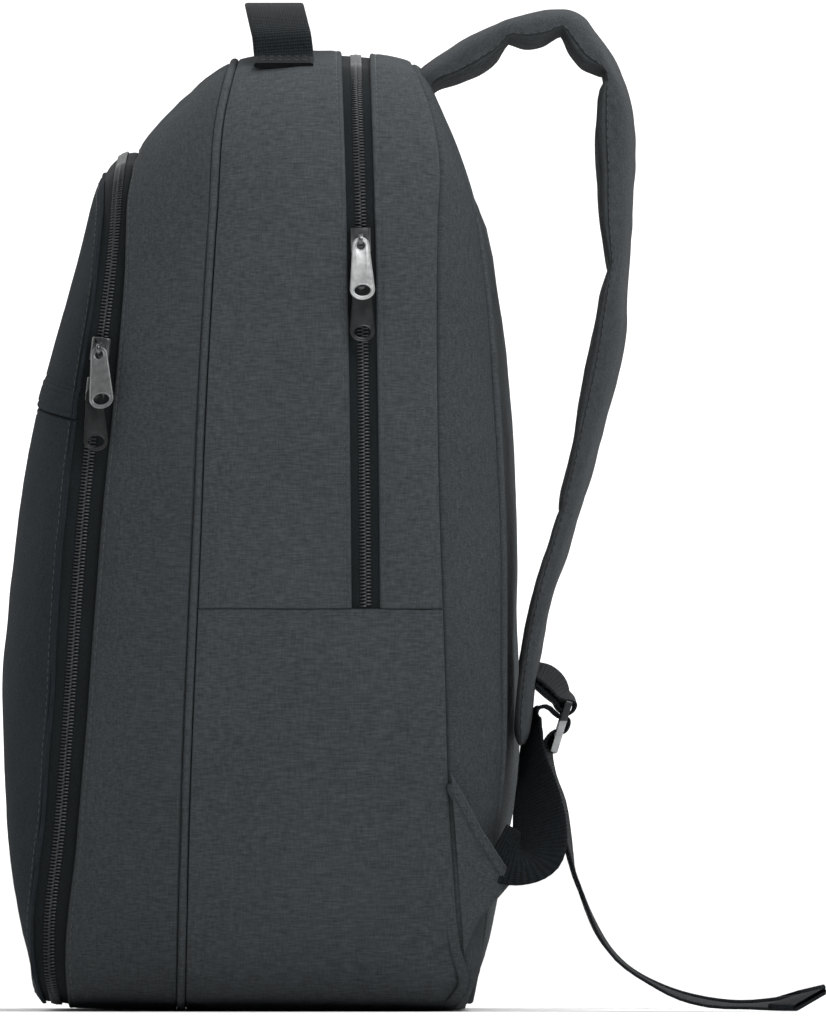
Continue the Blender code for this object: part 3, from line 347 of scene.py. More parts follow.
def cloth_piece(name, grid, wall, closed=False, thin=(0, 0)):
    """A grid of points as cloth with a wall that lies inside it, thin in some edge columns."""
    rows, cols = grid.shape[:2]
    bpy.ops.object.select_all(action="DESELECT")
    bpy.ops.mesh.primitive_grid_add(x_subdivisions=cols - 1, y_subdivisions=rows - 1, size=1.0)
    piece = bpy.context.active_object
    piece.name = piece.data.name = name
    piece.data.vertices.foreach_set("co", grid.reshape(-1).astype(np.float32))
    piece.data.update()
    if any(thin):
        foam = piece.vertex_groups.new(name="Foam")
        column = np.arange(rows * cols) % cols
        full = (column >= thin[0]) & (column < cols - thin[1])
        foam.add(np.flatnonzero(full).tolist(), 1.0, "REPLACE")
    edit_all(*((merge,) if closed else ()))
    if wall:
        give_wall(piece, wall, "Foam" if any(thin) else None)
    for vertex in piece.data.vertices:
        vertex.co.z = max(vertex.co.z, FLOOR_GAP)
    smooth_by(CLOTH_SMOOTH)
    return piece


TURNED_IN = np.array(((0.15, 0.7), (0.5, 1.7), (1.3, 2.7), (2.4, 3.1), (4.4, 3.2))) * 0.001


def turned_in(grid, normals, edges):
    """Adds the seam allowance that a strip turns inwards under the seam at its chosen edges."""
    for edge, wanted in zip((0, -1), edges):
        if not wanted:
            continue
        out = normals[:, edge]
        across = square_to(grid[:, edge] - grid[:, 3 if edge == 0 else -4], out)
        allowance = (grid[:, edge][:, None] + across[:, None] * TURNED_IN[None, :, :1]
                     - out[:, None] * TURNED_IN[None, :, 1:])
        grid = np.hstack((allowance[:, ::-1], grid) if edge == 0 else (grid, allowance))
    return grid


class Finish:
    """A material that is put together node by node."""

    def __init__(self, name, roughness, metallic=0.0):
        self.material = bpy.data.materials.new(name)
        self.material.use_nodes = True
        self.tree = self.material.node_tree
        self.shader = self.tree.nodes["Principled BSDF"]
        self.shader.inputs["Roughness"].default_value = roughness
        self.shader.inputs["Metallic"].default_value = metallic

    def feed(self, socket, value):
        if isinstance(value, bpy.types.NodeSocket):
            self.tree.links.new(value, socket)
        else:
            socket.default_value = value

    def node(self, kind, sockets=(), **settings):
        made = self.tree.nodes.new("ShaderNode" + kind)
        for key, value in settings.items():
            setattr(made, key, value)
        for key, value in dict(sockets).items():
            self.feed(made.inputs[key], value)
        return made

    def sum(self, first, operation, second):
        return self.node("Math", {0: first, 1: second}, operation=operation).outputs[0]

    def centred(self, value, weight):
        """A value from nought to one, moved to lie around nought and scaled."""
        return self.sum(self.sum(value, "SUBTRACT", 0.5), "MULTIPLY", weight)

    def spots(self, vector, scale, detail=2.0):
        return self.node("TexNoise", {"Vector": vector, "Scale": scale,
                                      "Detail": detail}).outputs["Fac"]

    def streaks(self, vector, scales):
        """Fine noise stretched by its own scale along each axis."""
        stretched = self.node("Mapping", {"Vector": vector, "Scale": scales}).outputs[0]
        return self.spots(stretched, 1.0, 1.0)

    def bump(self, strength, depth, height):
        self.feed(self.shader.inputs["Normal"], self.node(
            "Bump", {"Strength": strength, "Distance": depth, "Height": height}).outputs[0])

    def shaded(self, tone, value):
        """A colour made lighter and darker by a value around one."""
        return self.node("VectorMath", {0: tone, "Scale": value}, operation="SCALE").outputs[0]


def flecked(name, tone, roughness, scale, metallic=0.0, least=0.5):
    """A finish of one tone, made lighter and darker by fine noise."""
    finish = Finish(name, roughness, metallic)
    flecks = finish.spots(finish.node("TexCoord").outputs["Object"], scale)
    finish.feed(finish.shader.inputs["Base Color"],
                finish.shaded(tone, finish.sum(flecks, "ADD", least)))
    return finish.material


WAVE_TURNS = math.tau / 20.0
THREAD_PITCH = 0.00064


def melange(name, tone, slub_axis, contrast=0.42, sheen=0.0):
    """Woven polyester in two tones: fine threads both ways, and here and there a thicker paler
    thread that runs along one axis."""
    cloth = Finish(name, 0.88)
    place = cloth.node("TexCoord").outputs["Object"]
    slubs = cloth.streaks(place, [170.0 if axis == slub_axis else 1500.0 for axis in range(3)])
    cross = cloth.streaks(place, [1500.0 if axis == slub_axis else 260.0 for axis in range(3)])
    broad = cloth.spots(place, 14.0)
    value = cloth.centred(slubs, contrast * 2.2)
    value = cloth.sum(value, "ADD", cloth.centred(cross, contrast * 1.3))
    value = cloth.sum(value, "ADD", cloth.centred(broad, 0.22))
    value = cloth.sum(value, "ADD", 1.0)
    cloth.feed(cloth.shader.inputs["Base Color"], cloth.shaded(tone, value))
    normal = cloth.node("SeparateXYZ", {0: cloth.node("NewGeometry").outputs["Normal"]}).outputs
    side = cloth.sum(cloth.sum(normal[0], "ABSOLUTE", 0.0), "GREATER_THAN", 0.7)
    top = cloth.sum(cloth.sum(normal[2], "ABSOLUTE", 0.0), "GREATER_THAN", 0.7)
    bands = [cloth.node("TexWave", {"Vector": place, "Scale": WAVE_TURNS / THREAD_PITCH},
                        bands_direction=axis).outputs["Fac"] for axis in "XYZ"]
    first = cloth.node("Mix", {"Factor": side, "A": bands[0], "B": bands[1]}).outputs["Result"]
    second = cloth.node("Mix", {"Factor": top, "A": bands[2], "B": bands[1]}).outputs["Result"]
    weave = cloth.centred(first, cloth.sum(second, "SUBTRACT", 0.5))
    height = cloth.sum(cloth.sum(weave, "MULTIPLY", 2.0), "ADD", slubs)
    cloth.bump(0.55, 0.00022, height)
    cloth.feed(cloth.shader.inputs["Sheen Weight"], sheen)
    cloth.feed(cloth.shader.inputs["Sheen Roughness"], 0.45)
    cloth.feed(cloth.shader.inputs["Specular IOR Level"], 0.03)
    return cloth.material


def place_piece(piece, material, nodes=(), body="bag"):
    """Gives a finished piece its material, its body, and the CAD nodes that it stands for."""
    piece.data.materials.clear()
    piece.data.materials.append(material)
    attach(piece, body)
    if nodes:
        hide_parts(*nodes)
    return piece


STITCH_LENGTH, STITCH_PITCH, STITCH_RADIUS = 0.0026, 0.0036, 0.00027


def stitches(name, points, normals, material):
    """A row of single stitches along points, each one a small bead of thread half sunk in."""
    bpy.ops.object.select_all(action="DESELECT")
    bpy.ops.mesh.primitive_uv_sphere_add(segments=6, ring_count=4, radius=1.0)
    bead = bpy.context.active_object
    edit_all(lambda: bpy.ops.transform.resize(
        value=(STITCH_RADIUS, STITCH_RADIUS, STITCH_LENGTH / 2)))
    return repeated(name, bead, points, normals, STITCH_PITCH, material)


def repeated(name, unit_piece, points, normals, pitch, material):
    """Copies of a small piece at equal steps along a line: its z along the line, its x outwards."""
    shape = np.array([v.co for v in unit_piece.data.vertices])
    polygons = [np.array(p.vertices) for p in unit_piece.data.polygons]
    bpy.data.objects.remove(unit_piece)
    travelled = distance_along(points)
    count = max(1, int(travelled[-1] / pitch))
    stations = (np.arange(count) + 0.5) * travelled[-1] / count

    def sampled(values, where):
        return np.column_stack([np.interp(where, travelled, values[:, k]) for k in range(3)])

    centres = sampled(points, stations)
    tangents = unit(sampled(points, stations + 0.0008) - sampled(points, stations - 0.0008))
    out = square_to(sampled(normals, stations), tangents)
    aside = np.cross(tangents, out)
    vertices = (centres[:, None] + out[:, None] * shape[None, :, :1]
                + aside[:, None] * shape[None, :, 1:2]
                + tangents[:, None] * shape[None, :, 2:]).reshape(-1, 3)
    faces = [tuple(p + k * len(shape)) for k in range(count) for p in polygons]
    mesh = bpy.data.meshes.new(name)
    mesh.from_pydata(vertices.tolist(), [], faces)
    mesh.shade_smooth()
    piece = bpy.data.objects.new(name, mesh)
    bpy.context.scene.collection.objects.link(piece)
    return place_piece(piece, material)


BODY_TONE = (0.0535, 0.0597, 0.0640)
body_cloth = melange("slate_melange_cloth", BODY_TONE, 1)
# The body's cloth in a darker tone: painted shade for the compartment's strip and the back strip,
# which turn away from the light.
shaded_strip_cloth = melange("slate_melange_cloth_painted_shade", (0.0465, 0.0519, 0.0557), 1)
thread = flecked("slate_sewing_thread", (0.044, 0.049, 0.053), 0.65, 900.0)
dark_thread = flecked("dark_sewing_thread", (0.024, 0.028, 0.031), 0.65, 900.0)

sides = Swollen("front_pipe", "back_seam", 0.0055)
PIPED = 0.0023
AT_BACK_SEAM = 0.997
END_ROWS = 12
CALM_HEIGHT = 0.03
lower_run = run(-SEAM_PLACE, SEAM_PLACE)
side_width = sides.width(lower_run)
shares = columns(PIPED / side_width, np.full(len(lower_run), AT_BACK_SEAM),
                 side_width - PIPED, 34)[0]
grid, normals = sides.points(lower_run, shares)
up = np.abs(grid[..., 2:] - SIDE_SEAM)
calm = np.clip(grid[..., 2:] / CALM_HEIGHT, 0.0, 1.0)
grid = ripple(grid, normals * calm, 0.0011, (20.0, 34.0, 16.0), 3.0)
ends = from_end(lower_run)[:, None, None] < END_ROWS
grid = grid - normals * np.where(ends, edge_drop(up, "fold"), 0.0)
grid[..., 2] = np.maximum(grid[..., 2], 0.0)
place_piece(cloth_piece("lower_body_cloth", grid, CLOTH_WALL), body_cloth,
            ("lower_body",))
for side_name, row in (("far", 5), ("near", -6)):
    stitches(f"side_seam_stitches_{side_name}", grid[row, 4:-3], normals[row, 4:-3], thread)

# Upper strips: the cloth in front of the main zip and behind it, from the side seam over the top
# and down to the far side seam. Each is folded along the zip and stitched down 2.5 mm from the
# fold.
ZIP_ROWS = ((0.000, 0.208), (0.414, 0.206), (0.700, 0.200), (0.843, 0.195), (1.000, 0.184))
ZIP_HALF_WIDTH = 0.0061
upper_run = run(SEAM_PLACE, AROUND - SEAM_PLACE)


def zip_share(places, offset):
    """Share across the side where the main zip's middle lies, moved by an offset in depth."""
    height = at(sides.front, places)[:, 2] / BAG_HEIGHT
    return sides.share_at(places, fair_rows(ZIP_ROWS, height) * BAG_DEPTH + offset)


def upper_strip(name, node, start, end, edge_kinds, seed):
    """Cloth from side seam to side seam, with its two long edges open or folded."""
    shares, distances = columns(start, end, full_width * (end - start), 20)
    grid, normals = sides.points(upper_run, shares)
    grid = ripple(grid, normals, 0.0010, (18.0, 30.0, 13.0), seed)
    width = distances[:, -1:]
    drop = edge_drop(distances, edge_kinds[0]) + edge_drop(width - distances, edge_kinds[1])
    up = grid[..., 2] - SIDE_SEAM
    near_end = from_end(upper_run)[:, None] < END_ROWS
    drop = drop + np.where(near_end, edge_drop(np.maximum(up, 0.0), "seam"), 0.0)
    grid = grid - normals * drop[..., None]
    place_piece(cloth_piece(name, grid, CLOTH_WALL), body_cloth, (node,))
    return grid, normals


full_width = sides.width(upper_run)
grid, normals = upper_strip("front_upper_strip", "front_main_gusset", PIPED / full_width,
                            zip_share(upper_run, -ZIP_HALF_WIDTH), ("open", "fold"), 11.0)
stitches("front_fold_stitches", grid[2:-2, -6], normals[2:-2, -6], thread)
grid, normals = upper_strip("rear_upper_strip", "rear_gusset", zip_share(upper_run, ZIP_HALF_WIDTH),
                            np.full(len(upper_run), AT_BACK_SEAM), ("fold", "open"), 17.0)
stitches("rear_fold_stitches", grid[2:-2, 5], normals[2:-2, 5], thread)

# Main zip: two woven tapes under the folded cloth, with a nylon coil along each that interlocks
# in the middle. It starts at the near side seam, goes over the top and ends at the far one.
COIL_PITCH, COIL_RADIUS, COIL_BAR, COIL_BEND = 0.0015, 0.00046, 0.0029, 0.00035
TAPE_LAP, TAPE_SUNK, TAPE_WALL = 0.0012, 0.0019, 0.0007


def woven_tape(name, tone):
    """Fine dull tape, a little uneven in tone."""
    tape = Finish(name, 0.82)
    place = tape.node("TexCoord").outputs["Object"]
    fine = tape.spots(place, 1400.0, 1.0)
    broad = tape.spots(place, 40.0)
    value = tape.sum(tape.sum(fine, "MULTIPLY", 0.9), "ADD", tape.sum(broad, "MULTIPLY", 0.5))
    tape.feed(tape.shader.inputs["Base Color"], tape.shaded(tone, tape.sum(value, "ADD", 0.3)))
    tape.bump(0.5, 0.00025, fine)
    tape.feed(tape.shader.inputs["Specular IOR Level"], 0.05)
    return tape.material


tape_finish = woven_tape("zip_tape_cloth", (0.0125, 0.0150, 0.0165))
coil_finish = flecked("zip_coil_nylon", (0.020, 0.022, 0.024), 0.36, 260.0, least=0.6)


def zip_coil(name, points, normals):
    """The two coils, as bars that reach over the middle from either side, one after the other."""
    bpy.ops.object.select_all(action="DESELECT")
    bars = []
    for hand in (-1, 1):
        bpy.ops.mesh.primitive_cylinder_add(vertices=6, radius=COIL_RADIUS, depth=COIL_BAR,
                                            rotation=(math.pi / 2, 0.0, 0.0),
                                            location=(0.0, hand * 0.00105, hand * COIL_PITCH / 4))
        bar = bpy.context.active_object
        bpy.ops.object.transform_apply(location=True, rotation=True, scale=True)
        round_ends = bar.modifiers.new("Ends", "BEVEL")
        round_ends.width, round_ends.segments, round_ends.limit_method = 0.00022, 1, "ANGLE"
        bpy.ops.object.modifier_apply(modifier="Ends")
        for vertex in bar.data.vertices:
            vertex.co.x -= COIL_BEND * (abs(vertex.co.y) / 0.0025) ** 2
        bars.append(bar)
    for bar in bars:
        bar.select_set(True)
    bpy.context.view_layer.objects.active = bars[0]
    bpy.ops.object.join()
    return repeated(name, bars[0], points, normals, COIL_PITCH, coil_finish)


tape_start, tape_end = (zip_share(upper_run, hand * (ZIP_HALF_WIDTH + TAPE_LAP))
                        for hand in (-1, 1))
shares = tape_start[:, None] + (tape_end - tape_start)[:, None] * np.linspace(0.0, 1.0, 13)
grid, normals = sides.points(upper_run, shares)
place_piece(cloth_piece("main_zip_tapes", grid - normals * TAPE_SUNK, TAPE_WALL), tape_finish,
            ("main_zip",))
zip_coil("main_zip_coil", (grid - normals * 0.0013)[2:-2, 6], normals[2:-2, 6])

# Piping: a thin cord in a bias-cut strip of the same cloth, sewn into the seam all round. The
# front one parts the main body from the front compartment.
PIPING_RADIUS, SOLE_LIFT = 0.00185, 0.0002


def piping(name, node, seam, outward):
    """A covered cord all along a seam, with its own seam on the inner side."""
    line = SEAM[seam]
    tangent = unit(np.roll(line, -1, axis=0) - np.roll(line, 1, axis=0))
    out = square_to(outward, tangent)
    aside = np.cross(tangent, out)
    turn = np.linspace(0.0, math.tau, 13)[None, :, None]
    around = out[:, None] * np.cos(turn) - aside[:, None] * np.sin(turn)
    ring = line[:, None] + around * PIPING_RADIUS
    grid = np.concatenate((ring, ring[:1]))
    grid[..., 2] = np.maximum(grid[..., 2], SOLE_LIFT)
    place_piece(cloth_piece(name, grid, 0.0, closed=True), body_cloth, (node,))


front_gusset = Swollen("zip_rear", "front_pipe", 0.0042)
piping("front_piping_cord", "front_piping", "front_pipe",
       unit(sides.normals + front_gusset.normals))

# Front compartment's strip: one band of cloth all round between the piping and the front zip,
# folded and stitched along the zip.
whole_run = np.arange(AROUND + 1)


def closed_strip(name, node, surface, edge_kinds, gaps, height, stretch, seed, material):
    """A strip all round the bag between two seams, with its seam allowances turned inwards."""
    width = surface.width(whole_run)
    shares, distances = columns(gaps[0] / width, 1 - gaps[1] / width, width - sum(gaps), 14)
    grid, normals = surface.points(whole_run, shares)
    calm = np.clip(grid[..., 2:] / CALM_HEIGHT, 0.0, 1.0)
    grid = ripple(grid, normals * calm, height, stretch, seed)
    drop = (edge_drop(distances, edge_kinds[0])
            + edge_drop(distances[:, -1:] - distances, edge_kinds[1]))
    grid = grid - normals * drop[..., None]
    grid[..., 2] = np.maximum(grid[..., 2], SOLE_LIFT)
    sewn = [kind != "fold" for kind in edge_kinds]
    thin = [len(TURNED_IN) + 3 if edge else 0 for edge in sewn]
    cut = turned_in(grid, normals, sewn)
    cut[..., 2] = np.maximum(cut[..., 2], SOLE_LIFT)
    place_piece(cloth_piece(name, cut, CLOTH_WALL, closed=True, thin=thin), material,
                (node,))
    return grid, normals


# The strip's darker cloth is painted shade, not a different cloth.
grid, normals = closed_strip("front_compartment_strip", "front_gusset", front_gusset,
                             ("fold", "open"), (0.0002, PIPED), 0.0012, (22.0, 40.0, 15.0), 23.0,
                             shaded_strip_cloth)
stitches("front_strip_stitches", grid[:, 5], normals[:, 5], thread)

# Front zip: the same tape and coil all round the front panel. It stands up as a low ridge where
# it goes over the compartment's top.
RIDGE_FOOT, RIDGE_REACH, RIDGE_RISE = 0.340, 0.018, 0.0048
zip_shares = np.linspace(-0.08, 1.08, 13)
grid, normals = Swollen("panel_edge", "zip_rear", 0.0).points(whole_run, zip_shares)
ridge = (np.sqrt(np.sin(math.pi * np.clip(zip_shares, 0.0, 1.0)))
         * np.clip((grid[..., 2] - RIDGE_FOOT) / RIDGE_REACH, 0.0, 1.0))
grid = grid + ridge[..., None] * (0.0, 0.0, RIDGE_RISE)
place_piece(cloth_piece("front_zip_tapes", grid - normals * TAPE_SUNK, TAPE_WALL, closed=True),
            tape_finish, ("front_zip",))
zip_coil("front_zip_coil", (grid - normals * 0.0012)[:, 6], normals[:, 6])

# Front panel: darker cloth, crowned, in three parts. A flat flap lies over the pocket's opening,
# the pocket's front below it has a hem, and a facing of the same cloth lies behind both.
FRONT_ROWS = ((0.000, -0.425), (0.016, -0.446), (0.055, -0.459), (0.114, -0.482), (0.219, -0.497),
              (0.364, -0.500), (0.512, -0.473), (0.636, -0.433), (0.705, -0.398), (0.788, -0.357),
              (0.855, -0.326), (0.876, -0.311))
CROWN_STEPS = np.array((0.0, 0.06, 0.13, 0.2, 0.27, 0.34, 0.41, 0.48, 0.55, 0.61, 0.67, 0.73,
                        0.78, 0.83, 0.87, 0.905, 0.935, 0.955, 0.970, 0.979, 0.986, 0.992, 0.997,
                        1.0))
FLAP_FOOT, FLAP_TOP, FLAP_GAP = 0.2650, 0.2765, 0.0002
FLAP_LAP, FLAP_RISE = 0.0010, 0.0005
POCKET_ARCH = 0.0098
PANEL_CENTRE, NO_AREA = 0.44, 1e-14
FOLD_REACH = 0.004
FACING_SUNK, FACING_WALL, FACING_BELOW, FACING_ABOVE = 0.0030, 0.0008, 0.008, 0.020


def crowned(seam, rows, power, forward):
    """Rings of a crowned panel from its centre out to its edge, with normals for each ring."""
    edge = np.concatenate((SEAM[seam], SEAM[seam][:1]))
    centre = np.array((0.0, 0.0, BAG_HEIGHT * PANEL_CENTRE))
    ring = centre + (edge - centre) * CROWN_STEPS[:, None, None]
    crown = fair_rows(rows, ring[..., 2] / BAG_HEIGHT) * BAG_DEPTH
    lift = edge[:, 1] - fair_rows(rows, edge[:, 2] / BAG_HEIGHT) * BAG_DEPTH
    ring[..., 1] = crown + lift * CROWN_STEPS[:, None] ** power
    ring = np.swapaxes(ring, 0, 1)
    if not forward:
        ring = ring[:, ::-1]
    across, along = np.gradient(ring, axis=1), np.gradient(ring, axis=0)
    normals = np.cross(across, along)
    blank = np.linalg.norm(normals, axis=-1, keepdims=True) < NO_AREA
    normals = np.where(blank, (0.0, -1.0 if forward else 1.0, 0.0), unit(normals))
    reach = np.linalg.norm(edge - centre, axis=1)[:, None] * (1 - CROWN_STEPS)
    return ring, normals, reach if forward else reach[:, ::-1]


front_cloth = melange("dark_slate_melange_cloth", (0.0185, 0.0226, 0.0264), 0)
panel, panel_normals, panel_reach = crowned("panel_edge", FRONT_ROWS, 3.0, True)
panel = ripple(panel, panel_normals, 0.0012, (13.0, 20.0, 17.0), 31.0)
panel = panel - panel_normals * edge_drop(panel_reach, "fold")[..., None]


def cut_level(height, above=None):
    """Cuts the active piece at a height and keeps all of it, or only what lies above or below."""
    edit_all(lambda: bpy.ops.mesh.bisect(
        plane_co=(0.0, 0.0, height), plane_no=(0.0, 0.0, 1.0), clear_inner=above is True,
        clear_outer=above is False))


def fold_at(piece, level, above):
    """Ends a piece at a level with a folded and stitched edge."""
    cut_level(level, above)
    for step in EDGE_STEPS[1:8]:
        cut_level(level + (step if above else -step))
    for vertex in piece.data.vertices:
        gap = abs(vertex.co.z - level)
        if gap < FOLD_REACH:
            vertex.co.y += float(edge_drop(np.array(gap), "fold"))


def arch(piece, rise):
    """Lifts a piece's sides, so that a level cut becomes an arched one when they are let down."""
    for vertex in piece.data.vertices:
        vertex.co.z += rise * (vertex.co.x / HALF_WIDTH) ** 2


for part_name, node, low, high, rise in (
        ("front_panel_upper_cloth", "front_panel_top", FLAP_TOP, None, 0.0),
        ("pocket_flap_cloth", "pocket_flap", FLAP_FOOT + FLAP_GAP, FLAP_TOP + FLAP_LAP, FLAP_RISE),
        ("front_pocket_cloth", "front_pocket", None, FLAP_FOOT - FLAP_GAP, 0.0)):
    part = cloth_piece(part_name, panel + panel_normals * rise, 0.0, closed=True)
    arch(part, POCKET_ARCH)
    if low:
        fold_at(part, low, True)
    if high:
        fold_at(part, high, False)
    arch(part, -POCKET_ARCH)
    give_wall(part, CLOTH_WALL)
    smooth_by(CLOTH_SMOOTH)
    place_piece(part, front_cloth, (node,))
facing_band = cloth_piece("pocket_facing_cloth", panel - panel_normals * FACING_SUNK, 0.0,
                          closed=True)
cut_level(FLAP_FOOT - FACING_BELOW, True)
cut_level(FLAP_TOP + FACING_ABOVE, False)
give_wall(facing_band, FACING_WALL)
place_piece(facing_band, front_cloth)
stitches("panel_edge_stitches", panel[:, -6], panel_normals[:, -6], dark_thread)

# Back: a narrow strip behind the back seam, piping, and the padded panel that lies against the
# wearer's back, of the same cloth over thick foam.
BACK_ROWS = ((0.000, 0.409), (0.052, 0.444), (0.121, 0.467), (0.233, 0.501), (0.386, 0.501),
             (0.500, 0.498), (0.617, 0.489), (0.733, 0.467), (0.826, 0.440), (0.895, 0.391),
             (0.957, 0.338), (0.970, 0.322))
BACK_WALL, BACK_FILL = 0.008, 0.5
BACKWARDS = np.array((0.0, 1.0, 0.0))
back_gusset = Swollen("back_seam", "back_pipe", 0.0030)
# The back strip's darker cloth is painted shade, not a different cloth.
closed_strip("back_strip", "back_gusset", back_gusset, ("seam", "open"), (0.0003, PIPED), 0.0007,
             (20.0, 24.0, 14.0), 41.0, shaded_strip_cloth)
back_cloth = melange("slate_melange_cloth_back", BODY_TONE, 0)
panel, panel_normals, panel_reach = crowned("back_pipe", BACK_ROWS, 2.6, False)
panel_reach = np.maximum(panel_reach - PIPED, 0.0)
edge_reach = np.linalg.norm(panel[:, :1] - panel[:, -1:], axis=-1)
inset = np.clip(1 - PIPED / np.maximum(edge_reach, 0.01), 0.9, 1.0)
panel = panel[:, -1:] + (panel - panel[:, -1:]) * inset[..., None]
panel = ripple(panel, panel_normals, 0.0014, (12.0, 20.0, 15.0), 47.0)
panel = panel - panel_normals * edge_drop(panel_reach, "seam")[..., None]
place_piece(cloth_piece("padded_back_cloth", panel, BACK_WALL, closed=True), back_cloth,
            ("back_panel",))
piping("back_piping_cord", "back_piping", "back_pipe", unit(back_gusset.normals + BACKWARDS))

# Carry handle: one length of ribbed webbing, arched over the bag's top and sewn down flat at
# both feet.
HANDLE_ROUTE = ((94.0, 10.3, 412.5), (86.0, 10.3, 415.1), (78.0, 10.3, 416.2), (71.8, 9.4, 425.5),
                (61.0, 8.0, 431.7), (43.1, 6.6, 437.6), (21.5, 6.0, 440.3), (0.0, 5.8, 441.1))
HANDLE_WIDTH, HANDLE_THICKNESS = 0.026, 0.0022
HANDLE_STITCH_REACH, HANDLE_STITCH_RISE = 0.011, 0.00115
RIB_PITCH, STRAND_PITCH = 0.0016, 0.0011


def fair_table(table, gap, steps):
    """Smooth rows through a table, with a number of steps for each of its gaps."""
    slopes = fair_slopes(table, gap)
    rows = [between(table[k], table[k + 1], slopes[k], slopes[k + 1], gap[k], t)
            for k in range(len(gap)) for t in np.arange(steps[k]) / steps[k]]
    return np.array(rows + [table[-1]])


def smooth_table(rows, steps):
    """Smooth curve through table rows whose first three columns are millimetres."""
    table = np.array(rows, dtype=float)
    table[:, :3] *= 0.001
    gap = np.linalg.norm(np.diff(table[:, :3], axis=0), axis=1)[:, None]
    return fair_table(table, gap, [steps] * len(gap))


def webbing(name, tone):
    """Narrow woven band with fine ribs across it and selvedges, after its own length and width."""
    band = Finish(name, 0.72)
    place = band.node("UVMap", uv_map="UVMap").outputs[0]
    ribs = band.node("TexWave", {"Vector": place, "Scale": WAVE_TURNS / RIB_PITCH,
                                 "Distortion": 0.4, "Detail Scale": 3.0},
                     bands_direction="X").outputs["Fac"]
    strands = band.node("TexWave", {"Vector": place, "Scale": WAVE_TURNS / STRAND_PITCH},
                        bands_direction="Y").outputs["Fac"]
    fine = band.spots(band.node("TexCoord").outputs["Object"], 700.0)
    height = band.sum(ribs, "ADD", band.sum(strands, "MULTIPLY", 0.6))
    value = band.sum(band.sum(height, "MULTIPLY", 0.45), "ADD", fine)
    band.feed(band.shader.inputs["Base Color"], band.shaded(tone, band.sum(value, "ADD", 0.05)))
    band.bump(0.7, 0.00035, height)
    band.feed(band.shader.inputs["Specular IOR Level"], 0.05)
    return band.material


def band_piece(name, points, acrosses, width, thickness, material, nodes):
    """Flat webbing with round edges along points, its width turned towards given directions."""
    tangents = unit(np.gradient(points, axis=0))
    acrosses = square_to(acrosses, tangents)
    normals = np.cross(tangents, acrosses)
    half, edge = width / 2, thickness / 2
    flat = np.linspace(-half + edge, half - edge, 11)
    side = [(half - edge * 0.3, -edge * 0.7), (half, 0.0), (half - edge * 0.3, edge * 0.7)]
    section = [(a, -edge) for a in flat] + side
    section += [(-a, -b) for a, b in section]
    section = np.array(section + section[:1])
    grid = (points[:, None] + acrosses[:, None] * section[None, :, :1]
            + normals[:, None] * section[None, :, 1:])
    piece = cloth_piece(name, grid[:, ::-1], 0.0)
    along = np.repeat(distance_along(points), len(section))
    across = np.tile(section[::-1, 0], len(points))
    corners = np.zeros(len(piece.data.loops), dtype=int)
    piece.data.loops.foreach_get("vertex_index", corners)
    piece.data.uv_layers["UVMap"].data.foreach_set(
        "uv", np.column_stack((along[corners], across[corners])).reshape(-1))
    edit_all(merge, fill_ends)
    return place_piece(piece, material, nodes)


webbing_finish = webbing("dark_ribbed_webbing", (0.0115, 0.0139, 0.0160))
half_handle = smooth_table(HANDLE_ROUTE, 6)
handle_line = np.vstack((half_handle, half_handle[-2::-1] * (-1, 1, 1)))
band_piece("handle_webbing", handle_line, np.tile(BACKWARDS, (len(handle_line), 1)),
           HANDLE_WIDTH, HANDLE_THICKNESS, webbing_finish, ("carry_handle",))

for side_name, hand in SIDES:
    for row_name, place in (("inner", 11), ("outer", 3)):
        centre, ahead = half_handle[place], half_handle[place + 1] - half_handle[place]
        rise = unit(np.array((-ahead[2], 0.0, ahead[0])) * -1.0)
        reach = np.linspace(-HANDLE_STITCH_REACH, HANDLE_STITCH_REACH, 9)[:, None]
        across = centre + rise * HANDLE_STITCH_RISE + BACKWARDS * reach
        stitches(f"handle_stitches_{row_name}_{side_name}", across * (hand, 1.0, 1.0),
                 np.tile(rise * (hand, 1.0, 1.0), (9, 1)), dark_thread)

